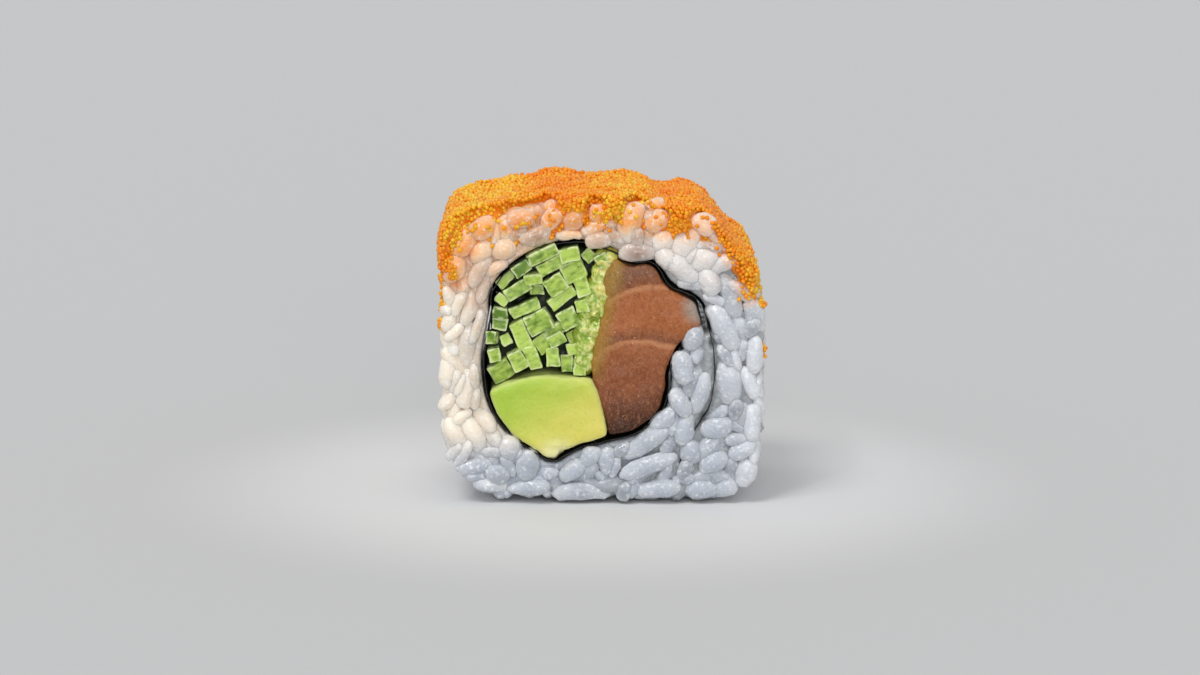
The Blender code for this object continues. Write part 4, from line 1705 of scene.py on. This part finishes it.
@dataclass
class CucumberBundle:
    """The cucumber: sticks that end at both cut faces, a core coloured near black as painted shade between
    them, and soft seed pulp beside the fish.

    The pulp's route has places across and up from the centre and the pulp's spread there, in millimetres.
    """

    centre: Vector = field(default_factory=lambda: Vector((-1.5 * MM, 0, 19.7 * MM)))
    seed: int = 8
    half_depth: float = 12.9 * MM
    recess: float = 2.4 * MM
    stick_length: float = 5.5 * MM
    stick_edge: float = 0.1 * MM
    ragged: float = 1.2 * MM
    wobble: float = 0.55 * MM
    lean: float = 4.0
    tone_spread: float = 0.1
    core_voxel: float = 0.5 * MM
    pulp_voxel: float = 0.16 * MM
    pulp_bits: int = 190
    bit_sizes: Pair = (1.0, 2.3)
    bit_depths: Pair = (0.9, 2.6)
    seeds: int = 220
    smallest_seed: float = 0.35
    largest_seed: float = 1.3
    seed_depths: Pair = (0.3, 1.1)
    pulp_route: tuple[Triple, ...] = (
        (2.4, 12.4, 0.7),
        (1.4, 9.6, 0.9),
        (0.9, 6.6, 1.5),
        (0.3, 4.4, 1.4),
        (-0.4, 1.0, 1.1),
        (-0.9, -2.2, 0.8),
    )
    sticks: tuple[Stick, ...] = (
        Stick(-6.2, 12.4, 4.0, 1.5, 26, Tone.DULL),
        Stick(-5.2, 10.9, 3.6, 1.6, 28, Tone.MID),
        Stick(-9.0, 10.5, 2.4, 1.6, 35, Tone.DARK),
        Stick(-10.9, 8.9, 2.5, 1.3, 45, Tone.PALE),
        Stick(-9.6, 7.6, 3.5, 1.6, 30, Tone.MID),
        Stick(-11.1, 6.4, 1.7, 1.2, -35, Tone.PALE),
        Stick(-7.1, 9.4, 2.3, 1.3, 8, Tone.LIGHT),
        Stick(-6.8, 7.7, 1.8, 1.3, 2, Tone.DULL),
        Stick(-4.3, 8.6, 2.7, 2.4, 32, Tone.MID),
        Stick(-2.0, 10.2, 2.9, 2.6, 25, Tone.LIGHT),
        Stick(-2.5, 12.5, 2.5, 1.8, 15, Tone.LIGHT),
        Stick(-0.1, 12.1, 1.5, 1.7, 40, Tone.MID),
        Stick(1.4, 11.6, 1.6, 1.7, 30, Tone.DULL),
        Stick(-3.5, 6.6, 3.8, 1.6, 35, Tone.PALE),
        Stick(-8.3, 5.3, 3.9, 1.5, 24, Tone.LIGHT),
        Stick(-6.4, 3.8, 3.2, 2.7, 27, Tone.MID),
        Stick(-11.5, 5.0, 1.8, 1.3, -8, Tone.DARK),
        Stick(-11.6, 3.3, 1.9, 1.5, -5, Tone.DARK),
        Stick(-8.9, 2.1, 1.9, 3.7, 22, Tone.PALE),
        Stick(-12.1, 1.6, 1.4, 1.6, -5, Tone.DULL),
        Stick(-10.7, 1.2, 1.3, 1.5, 30, Tone.PALE),
        Stick(-12.2, -0.2, 1.5, 1.7, 8, Tone.MID),
        Stick(-11.4, -2.4, 2.8, 2.5, 30, Tone.LIGHT),
        Stick(-9.2, -1.0, 2.0, 2.5, 27, Tone.LIGHT),
        Stick(-7.3, -0.9, 1.6, 3.1, 20, Tone.LIGHT),
        Stick(-6.2, 0.9, 2.0, 2.2, 37, Tone.LIGHT),
        Stick(-4.3, 1.3, 2.2, 1.7, 30, Tone.MID),
        Stick(-4.6, 2.8, 3.0, 1.4, 30, Tone.MID),
        Stick(-2.8, 4.0, 2.4, 2.5, 30, Tone.MID),
        Stick(-0.9, 8.0, 1.7, 2.4, 20, Tone.LIGHT),
        Stick(-0.8, 5.9, 1.7, 1.6, 15, Tone.LIGHT),
        Stick(-1.5, 1.7, 1.7, 2.5, 30, Tone.LIGHT),
        Stick(-4.6, -1.3, 1.7, 2.3, 3, Tone.LIGHT),
        Stick(-2.9, -1.9, 1.6, 2.2, 3, Tone.MID),
        Stick(-1.2, -1.9, 1.5, 2.3, 0, Tone.LIGHT),
        Stick(-2.4, 0.1, 1.4, 1.5, 10, Tone.PALE),
        Stick(-0.6, 0.3, 1.3, 1.5, -10, Tone.LIGHT),
    )

    def build(self) -> Iterator[bpy.types.Object]:
        """Builds the core, the sticks and the pulp.

        Returns:
            The three pieces.
        """
        core = copy_of("cucumber", "cucumber_core")
        remesh(core, self.core_voxel, 4)
        for vertex in core.data.vertices:
            vertex.co.y *= 1 - self.recess / self.half_depth
        fill_attribute(core.data, "tone", 0.0)
        # The core's near-black green is painted shade in the gaps between the sticks.
        dark = PlainFoodFinish("cucumber_core", srgb(30, 42, 14), srgb(52, 66, 22), 0.5, coat=0.0)
        finish_piece(core, dark.make(), "cucumber")
        yield core
        bundle = self.make_sticks()
        finish_piece(bundle, CucumberFinish().make(), "cucumber", crease=35)
        yield bundle
        pulp = self.make_pulp()
        finish_piece(pulp, PulpFinish().make(), "cucumber")
        yield pulp

    def make_sticks(self) -> bpy.types.Object:
        """Models the end of each stick at both cut faces and joins them.

        Returns:
            The joined sticks.
        """
        draw = random.Random(self.seed)
        made = [self.model_stick(draw, stick, side) for side in (-1, 1) for stick in self.sticks]
        activate(made[0])
        for stick in made:
            stick.select_set(True)
        bpy.ops.object.join()
        bundle = bpy.context.active_object
        bundle.name = "cucumber_sticks"
        crumple(bundle, self.wobble, cloud_texture("stick_wobble", 1.6 * MM, 2, coloured=True))
        return bundle

    def model_stick(self, draw: random.Random, stick: Stick, side: int) -> bpy.types.Object:
        """Models the end of one stick, with eased edges and a slight lean.

        Args:
            draw: The random source.
            stick: Its place, size and tone.
            side: The cut face that it ends at: -1 for the front, 1 for the back.

        Returns:
            The stick.
        """
        deselect()
        bpy.ops.mesh.primitive_cube_add(size=1)
        piece = bpy.context.active_object
        piece.data.transform(Matrix.Diagonal((stick.width * MM, self.stick_length, stick.height * MM, 1)))
        edit(
            piece,
            lambda: bpy.ops.mesh.bevel(offset=self.stick_edge, segments=1, affect="EDGES"),
            lambda: bpy.ops.mesh.subdivide(number_cuts=2),
        )
        apart = Vector((0, draw.uniform(0, 1000), 0))
        set_places(piece.data, "local", [vertex.co / MM + apart for vertex in piece.data.vertices])
        fill_attribute(piece.data, "half_width", stick.width / 2)
        fill_attribute(piece.data, "half_height", stick.height / 2)
        tone = stick.tone.value + draw.uniform(-self.tone_spread, self.tone_spread)
        fill_attribute(piece.data, "tone", tone)
        lean = Matrix.Rotation(math.radians(draw.gauss(0, self.lean)), 4, "X")
        yaw = Matrix.Rotation(math.radians(draw.gauss(0, self.lean)), 4, "Z")
        turn = Matrix.Rotation(-math.radians(stick.tilt), 4, "Y")
        along = side * (self.half_depth - draw.uniform(0, self.ragged) - self.stick_length / 2)
        place = Matrix.Translation(self.centre + Vector((stick.across * MM, along, stick.up * MM)))
        piece.data.transform(place @ turn @ lean @ yaw)
        return piece

    def pulp_spot(self, draw: random.Random) -> tuple[float, float]:
        """A place in the band of pulp.

        Args:
            draw: The random source.

        Returns:
            How far it lies across and up from the filling's centre, in millimetres.
        """
        first = draw.randrange(len(self.pulp_route) - 1)
        share = draw.random()
        start, end = Vector(self.pulp_route[first]), Vector(self.pulp_route[first + 1])
        across, up, spread = start.lerp(end, share)
        return across + draw.uniform(-1, 1) * spread, up + draw.gauss(0, 0.3)

    def make_pulp(self) -> bpy.types.Object:
        """Models the seed pulp, fused from round bits with small wet seeds on top.

        Returns:
            The pulp of both cut faces.
        """
        draw = random.Random(self.seed)
        bead = model_bead(10, 8)
        swarm = Swarm("seed_pulp")
        for side in (-1, 1):
            for number in range(self.pulp_bits + self.seeds):
                across, up = self.pulp_spot(draw)
                if number < self.pulp_bits:
                    size = draw.uniform(*self.bit_sizes)
                    sunk = draw.uniform(*self.bit_depths)
                else:
                    size = min(self.largest_seed, self.smallest_seed + draw.expovariate(5.0))
                    sunk = draw.uniform(*self.seed_depths)
                along = side * (self.half_depth - sunk * MM)
                centre = self.centre + Vector((across * MM, along, up * MM))
                turn = Matrix.Rotation(draw.uniform(0, math.tau), 4, "Y")
                long = size * draw.uniform(0.9, 1.4)
                scale = Matrix.Diagonal((long * MM, size * MM, size * MM, 1))
                swarm.add(bead, Matrix.Translation(centre) @ turn @ scale, 0.5)
        pulp = swarm.build()
        remesh(pulp, self.pulp_voxel, 1)
        # Each point's height above the cut face, which sets the painted shade in the hollows.
        heights = [abs(vertex.co.y) - self.half_depth for vertex in pulp.data.vertices]
        set_attribute(pulp.data, "tone", [height / (2 * MM) + 0.9 for height in heights])
        return pulp


def model_bead(segments: int, rings: int) -> Shape:
    """A small soft ball of unit width, a little uneven.

    Args:
        segments: Its number of sides.
        rings: Its number of rings.

    Returns:
        The modelled ball.
    """
    deselect()
    bpy.ops.mesh.primitive_uv_sphere_add(segments=segments, ring_count=rings, radius=0.5)
    bead = bpy.context.active_object
    edit(bead, lambda: bpy.ops.transform.vertex_random(offset=0.03, seed=segments))
    return Shape.taken_from(bead)


@dataclass
class RoeBlanket:
    """The roe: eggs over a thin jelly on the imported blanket's outer side, with strays and clumps beyond it.

    The edge that shows on a cut face rises and falls. It is given by knots of an angle about the roll's
    axis, in degrees, and how far inside the rice's outline the roe reaches there, in millimetres. Its outer
    side has hollows, and it is yellower in some spots: each has its place across, its reach and its depth
    or strength. A clump has its angle, its place along the roll and its radius. Strays lie off the edge.
    """

    section: RollSection
    rice: RicePile
    seed: int = 3
    spacing: float = 0.42 * MM
    tries: int = 110000
    egg_sizes: tuple[float, float] = (0.46 * MM, 0.68 * MM)
    face_start: float = 12.4 * MM
    wall_tries: int = 6000
    wall_across: Pair = (-19, 16)
    wall_up: Pair = (33, 40)
    wall_from: float = -1.2
    strays: int = 800
    straying: float = 0.45
    stray_inset: float = 1.5 * MM
    bite_depth: float = 1.5
    bite_sparing: float = 0.85
    flank_strays: int = 420
    flank_straying: float = 3.0
    ragged_end: float = 2.6
    end_reach: float = 12.0
    hollows: tuple[Triple, ...] = (
        (-18.5, 1.8, -0.5),
        (-14.5, 2.4, 0.8),
        (-9.5, 1.6, 0.5),
        (7.6, 2.2, 1.0),
        (17.2, 3.2, 1.5),
    )
    bare_depth: float = 2.6 * MM
    edge: tuple[Pair, ...] = (
        (22, -0.5),
        (40, -0.6),
        (48, -1.4),
        (55, -1.4),
        (58, 0.3),
        (63, -0.4),
        (69, -1.4),
        (78, -1.5),
        (84, -0.2),
        (95, -0.9),
        (106, -1.2),
        (112, 0.1),
        (118, 0.3),
        (124, 1.6),
        (129, -0.8),
        (135, -0.6),
        (142, -1.2),
        (152, 0.2),
    )
    yellow_spots: tuple[Triple, ...] = ((-15.0, 6.0, 1.0), (2.5, 4.0, 1.0), (19.5, 2.0, 1.0))
    clump_eggs: int = 26
    clumps: tuple[Triple, ...] = (
        (157, -10.5, 1.3),
        (163, -11.4, 1.0),
        (171, -11.2, 0.9),
        (168, 3.5, 1.2),
        (17, -11.2, 1.0),
        (2, -11.4, 0.9),
        (12, 5.0, 1.1),
    )

    def __post_init__(self) -> None:
        """Starts with nothing for stray eggs to land on."""
        self.beds: tuple[BVHTree, ...] = ()

    def build(self) -> Iterator[bpy.types.Object]:
        """Builds the jelly and the eggs.

        Returns:
            The jelly and the eggs of each colour.
        """
        jelly = self.make_jelly()
        self.beds = self.rice.surface, tree_of([jelly])
        gel = PlainFoodFinish("roe_jelly", srgb(238, 124, 12), srgb(244, 150, 26), relief=0.1)
        finish_piece(jelly, gel.make(), "roe")
        yield jelly
        eggs = self.lay_eggs()
        finishes = (
            PlainFoodFinish("roe_deep", srgb(242, 132, 10), srgb(248, 154, 24), roughness=0.22, coat=0.1),
            PlainFoodFinish("roe_amber", srgb(244, 146, 14), srgb(248, 168, 30), roughness=0.22, coat=0.1),
            PlainFoodFinish("roe_yellow", srgb(244, 172, 26), srgb(250, 198, 54), roughness=0.22, coat=0.1),
        )
        for swarm, finish in zip(eggs, finishes):
            piece = swarm.build()
            finish_piece(piece, finish.make(), "roe")
            yield piece

    def make_jelly(self) -> bpy.types.Object:
        """Models the jelly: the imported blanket, heaped, and sunk between the rice past its own edges.

        Returns:
            The jelly.
        """
        jelly = copy_of("roe", "roe_jelly")
        modify(jelly, "SUBSURF", subdivision_type="SIMPLE", levels=1, render_levels=1)
        for vertex in jelly.data.vertices:
            vertex.co = self.heaped(vertex.co)
        for vertex in jelly.data.vertices:
            sunk = clamp(self.past_edge(vertex.co) + 0.3)
            lowered = self.bare_depth * clamp(self.section.bare(vertex.co) + 0.8)
            standing = max(0.0, abs(vertex.co.y) - self.face_start)
            vertex.co.y -= math.copysign(standing * sunk, vertex.co.y)
            vertex.co.z -= lowered
        ripple(jelly, 0.25 * MM, cloud_texture("jelly", 0.8 * MM), level=0.7)
        fill_attribute(jelly.data, "tone", 0.3)
        return jelly

    def heaped(self, spot: Vector) -> Vector:
        """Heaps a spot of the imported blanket: lower in the hollows, and ragged at the blanket's ends.

        Args:
            spot: The spot.

        Returns:
            Where it moves to.
        """
        across = self.section.across(spot)
        angle = self.section.angle_of(across)
        by_end = clamp(1 - min(angle - ROE_START, ROE_END - angle) / self.end_reach)
        waves = noise.noise(Vector((spot.y / (2.4 * MM), float(angle > 90), 0)))
        sag = self.ragged_end * by_end * waves
        lift = 0.55 * noise.noise(spot / (4.5 * MM))
        lift -= bumps(spot.x / MM, self.hollows)
        return spot + across.normalized() * lift * MM - Vector((0, 0, sag * MM))

    def edge_depth(self, angle: float, side: float) -> float:
        """How far inside the rice's outline the roe reaches on a cut face, in millimetres.

        Args:
            angle: The angle about the roll's axis, in degrees.
            side: Below 0 for the front face, above 0 for the back one, where the edge is mirrored.

        Returns:
            The depth.
        """
        knots = np.array(self.edge)
        own = angle if side < 0 else ROE_START + ROE_END - angle
        ragged = 0.7 * noise.noise(Vector((angle / 4, side, 0)))
        return float(np.interp(own, knots[:, 0], knots[:, 1])) + ragged

    def past_edge(self, spot: Vector) -> float:
        """How far a spot lies past the edge of the roe.

        Args:
            spot: The spot.

        Returns:
            The distance in millimetres, below 0 within the roe.
        """
        bare = self.section.bare(spot)
        if bare > 0:
            return bare
        if abs(spot.y) < self.face_start:
            return -math.inf
        across = self.section.across(spot)
        angle = self.section.angle_of(across)
        depth = self.section.reach(angle) - across.length
        return depth / MM - self.edge_depth(angle, spot.y)

    def yellowness(self, spot: Vector) -> float:
        """How yellow the roe is at a spot, from 0 to about 1."""
        return bumps(spot.x / MM, self.yellow_spots)

    def lay_eggs(self) -> tuple[Swarm, Swarm, Swarm]:
        """Lays the eggs.

        Returns:
            The deep orange eggs, the amber ones and the yellow ones.
        """
        egg = model_bead(6, 4)
        draw = random.Random(self.seed)
        swarms = Swarm("roe_eggs_deep"), Swarm("roe_eggs_amber"), Swarm("roe_eggs_yellow")
        for spot, outward in self.egg_spots(draw):
            cloud = 0.5 * noise.noise(spot / (5 * MM)) + 0.8 * self.yellowness(spot)
            patch = cloud + draw.gauss(0, 0.22)
            swarm = swarms[(patch > 0.15) + (patch > 0.6)]
            size = draw.uniform(*self.egg_sizes)
            centre = spot + outward * draw.uniform(-0.14, 0.12) * MM
            turn = Matrix.Rotation(draw.uniform(0, math.tau), 4, outward)
            swarm.add(egg, Matrix.Translation(centre) @ turn @ Matrix.Scale(size, 4), draw.random())
        return swarms

    def egg_spots(self, draw: random.Random) -> Iterator[tuple[Vector, Vector]]:
        """Places for all the eggs.

        Args:
            draw: The random source.

        Returns:
            The places, each with the outward direction.
        """
        yield from self.blanket_spots(draw)
        yield from self.wall_spots(draw)
        yield from self.stray_spots(draw)
        yield from self.flank_spots(draw)
        yield from self.clump_spots(draw)

    def blanket_spots(self, draw: random.Random) -> Iterator[tuple[Vector, Vector]]:
        """Places for eggs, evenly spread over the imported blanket's outer side.

        Args:
            draw: The random source.

        Returns:
            The places, each with the outward direction.
        """
        faces = list(self.outer_faces())
        areas = np.cumsum([face[3] for face in faces])
        cells: dict = defaultdict(list)
        picks = np.searchsorted(areas, [draw.uniform(0, areas[-1]) for _ in range(self.tries)])
        for pick in picks:
            corners, normal = faces[pick][:3], faces[pick][4]
            first, second = draw.random(), draw.random()
            if first + second > 1:
                first, second = 1 - first, 1 - second
            start = corners[0]
            spot = start + (corners[1] - start) * first + (corners[2] - start) * second
            if self.past_edge(spot) < 0 and self.is_free(spot, cells):
                cells[self.cell(spot)].append(spot)
                yield self.heaped(spot), normal

    def cell(self, spot: Vector) -> tuple[int, int, int]:
        """The cell of the search grid that holds a spot."""
        return tuple(math.floor(value / self.spacing) for value in spot)

    def is_free(self, spot: Vector, cells: dict) -> bool:
        """Whether no egg lies nearer to a spot than the spacing.

        Args:
            spot: The spot.
            cells: The eggs so far, by the cells of the search grid.

        Returns:
            Whether the spot is free.
        """
        x, y, z = self.cell(spot)
        steps = (-1, 0, 1)
        near = ((x + i, y + j, z + k) for i in steps for j in steps for k in steps)
        others = (other for key in near if key in cells for other in cells[key])
        return all((spot - other).length > self.spacing for other in others)

    def outer_faces(self) -> Iterator[tuple]:
        """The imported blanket's faces that don't lie on the rice.

        Returns:
            Three corners, the area and the normal of each.
        """
        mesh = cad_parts["roe"].data
        mesh.calc_loop_triangles()
        section = self.section
        for face in mesh.loop_triangles:
            corners = [mesh.vertices[index].co.copy() for index in face.vertices]
            middle = sum(corners, Vector()) / 3
            normal = (corners[1] - corners[0]).cross(corners[2] - corners[0]).normalized()
            across = section.across(middle)
            rise = across.length - section.reach(section.angle_of(across))
            low = rise < 0.8 * MM and abs(middle.y) < self.face_start
            if not (low and normal.dot(across) < 0):
                yield *corners, face.area, normal

    def wall_spots(self, draw: random.Random) -> Iterator[tuple[Vector, Vector]]:
        """Places for eggs on the jelly that shows behind the bites of the front edge.

        Args:
            draw: The random source.

        Returns:
            The places, each with the outward direction.
        """
        cells: dict = defaultdict(list)
        inwards = Vector((0, 1, 0))
        for _ in range(self.wall_tries):
            across = draw.uniform(*self.wall_across) * MM
            start = Vector((across, 2 * self.section.low.y, draw.uniform(*self.wall_up) * MM))
            rice, jelly = (bed.ray_cast(start, inwards)[0] for bed in self.beds)
            hidden = not jelly or (rice and rice.y < jelly.y)
            if hidden or self.section.bare(jelly) <= self.wall_from:
                continue
            if self.is_free(jelly, cells):
                cells[self.cell(jelly)].append(jelly)
                yield jelly, -inwards

    def hits(self, start: Vector, direction: Vector) -> list[Vector]:
        """Where a ray meets the rice and the jelly.

        Args:
            start: Where it starts.
            direction: Where it goes.

        Returns:
            The spots that it meets, at most one on each.
        """
        places = [bed.ray_cast(start, direction)[0] for bed in self.beds]
        return [place for place in places if place]

    def stray_spots(self, draw: random.Random) -> Iterator[tuple[Vector, Vector]]:
        """Places for single eggs on the cut faces, fewer with the distance from the blanket's edge.

        Args:
            draw: The random source.

        Returns:
            The places, each with the outward direction.
        """
        for side in (-1, 1):
            outward = Vector((0, side, 0))
            for _ in range(self.strays):
                angle = draw.uniform(ROE_START, ROE_END)
                depth = self.edge_depth(angle, side) + draw.expovariate(1 / self.straying)
                spot = self.section.outline(angle, -depth * MM) + outward * 20 * MM
                bitten = side < 0 and bumps(spot.x / MM, self.section.bites) > self.bite_depth
                if bitten and draw.random() < self.bite_sparing:
                    continue
                hits = self.hits(spot, -outward)
                hit = max(hits, key=lambda place: side * place.y, default=None)
                if hit and abs(hit.y) > self.face_start - self.stray_inset:
                    yield hit, outward

    def flank_spots(self, draw: random.Random) -> Iterator[tuple[Vector, Vector]]:
        """Places for single eggs on the flanks, fewer with the distance below the blanket's ends.

        Args:
            draw: The random source.

        Returns:
            The places, each with the outward direction.
        """
        depth = self.section.half_depth
        for end, side in ((ROE_START, -1), (ROE_END, 1)):
            for _ in range(self.flank_strays):
                angle = (end + side * (draw.expovariate(1 / self.flank_straying) - 2)) % 360
                outward = self.section.outward(angle)
                spot = self.section.outline(angle, 5 * MM) + Vector((0, draw.uniform(-depth, depth), 0))
                hits = self.hits(spot, -outward)
                hit = min(hits, key=lambda place: (place - spot).length, default=None)
                if hit:
                    yield hit, outward

    def clump_spots(self, draw: random.Random) -> Iterator[tuple[Vector, Vector]]:
        """Places for the eggs of the loose clumps, which lie on the grains of the flanks.

        Args:
            draw: The random source.

        Returns:
            The places, each with the outward direction.
        """
        for angle, along, radius in self.clumps:
            outward = self.section.outward(angle)
            side = outward.cross(Vector((0, 1, 0)))
            for _ in range(self.clump_eggs):
                shift = Vector((0, along + draw.gauss(0, radius / 2), 0)) + side * draw.gauss(0, radius / 2)
                spot = self.section.outline(angle, 4 * MM) + shift * MM
                hit = self.rice.surface.ray_cast(spot, -outward)[0]
                if hit:
                    yield hit + outward * draw.uniform(-0.1, 0.2) * MM, outward


@dataclass
class Studio:
    """The ground, the light and the camera of the photograph."""

    distance: float = 450 * MM
    elevation: float = 10.0
    target: tuple[float, float, float] = (-0.25 * MM, 0.0, 19.3 * MM)
    focal_px: float = 3457.0
    sensor: float = 36.0
    sky: Colour = (0.97, 0.98, 1.0, 1.0)
    surrounding: float = 0.62
    ground_size: float = 6.0

    def build(self) -> None:
        """Sets the scene."""
        self.make_ground()
        self.make_world()
        self.make_sun("key", (-15, -19, 42), 0.95, 22)
        self.make_sun("front", (4, -60, 14), 0.9, 30)
        self.make_sun("glint", (-20, -32, 40), 0.12, 3)
        self.make_camera()

    def make_ground(self) -> None:
        """A wide pale ground."""
        deselect()
        bpy.ops.mesh.primitive_plane_add(size=self.ground_size)
        ground = bpy.context.active_object
        ground.name = "ground"
        edit(ground, lambda: bpy.ops.mesh.subdivide(number_cuts=4))
        ground.data.materials.append(GroundFinish().make())
        ground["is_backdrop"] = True

    def make_world(self) -> None:
        """An even pale surrounding."""
        world = bpy.data.worlds.new("studio")
        world.use_nodes = True
        sockets = world.node_tree.nodes["Background"].inputs
        sockets["Color"].default_value = self.sky
        sockets["Strength"].default_value = self.surrounding
        bpy.context.scene.world = world

    def make_sun(self, name: str, place: Sequence[float], strength: float, angle: float) -> None:
        """A soft distant light.

        Args:
            name: Its name.
            place: The direction that it shines from.
            strength: Its strength.
            angle: How wide it looks, in degrees, which softens its shadows.
        """
        light = bpy.data.lights.new(name, "SUN")
        light.energy = strength
        light.angle = math.radians(angle)
        lamp = add_object(name, light)
        lamp.rotation_euler = (-Vector(place)).to_track_quat("-Z", "Y").to_euler()

    def make_camera(self) -> None:
        """The camera, at the photograph's angle and distance."""
        camera = bpy.data.cameras.new("camera")
        camera.sensor_width = self.sensor
        camera.lens = self.focal_px / PHOTO_WIDTH_PX * self.sensor
        camera.clip_start = 0.01
        rise = math.radians(self.elevation)
        viewer = add_object("camera", camera)
        target = Vector(self.target)
        viewer.location = target + Vector((0, -math.cos(rise), math.sin(rise))) * self.distance
        viewer.rotation_euler = (target - viewer.location).to_track_quat("-Z", "Y").to_euler()
        bpy.context.scene.camera = viewer
        bpy.context.scene.view_settings.view_transform = "Standard"


def write_sizes() -> None:
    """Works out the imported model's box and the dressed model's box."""
    boxes = {"cad": CAD_BOUNDS, "visual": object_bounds()}
    plain = {name: [list(corner) for corner in box] for name, box in boxes.items()}


def main() -> None:
    """Builds the pieces in order and sets the scene."""
    logging.basicConfig(level=logging.INFO, format="%(name)s: %(message)s")
    section = RollSection()
    rice = RicePile(section)
    assemblies = (
        rice,
        NoriSheet(),
        FishBlock(),
        AvocadoWedge(),
        CucumberBundle(),
        RoeBlanket(section, rice),
    )
    for assembly in assemblies:
        for piece in assembly.build():
            LOG.info("%s is in place", piece.name)
    Studio().build()
    write_sizes()


if __name__ == "__main__":
    main()
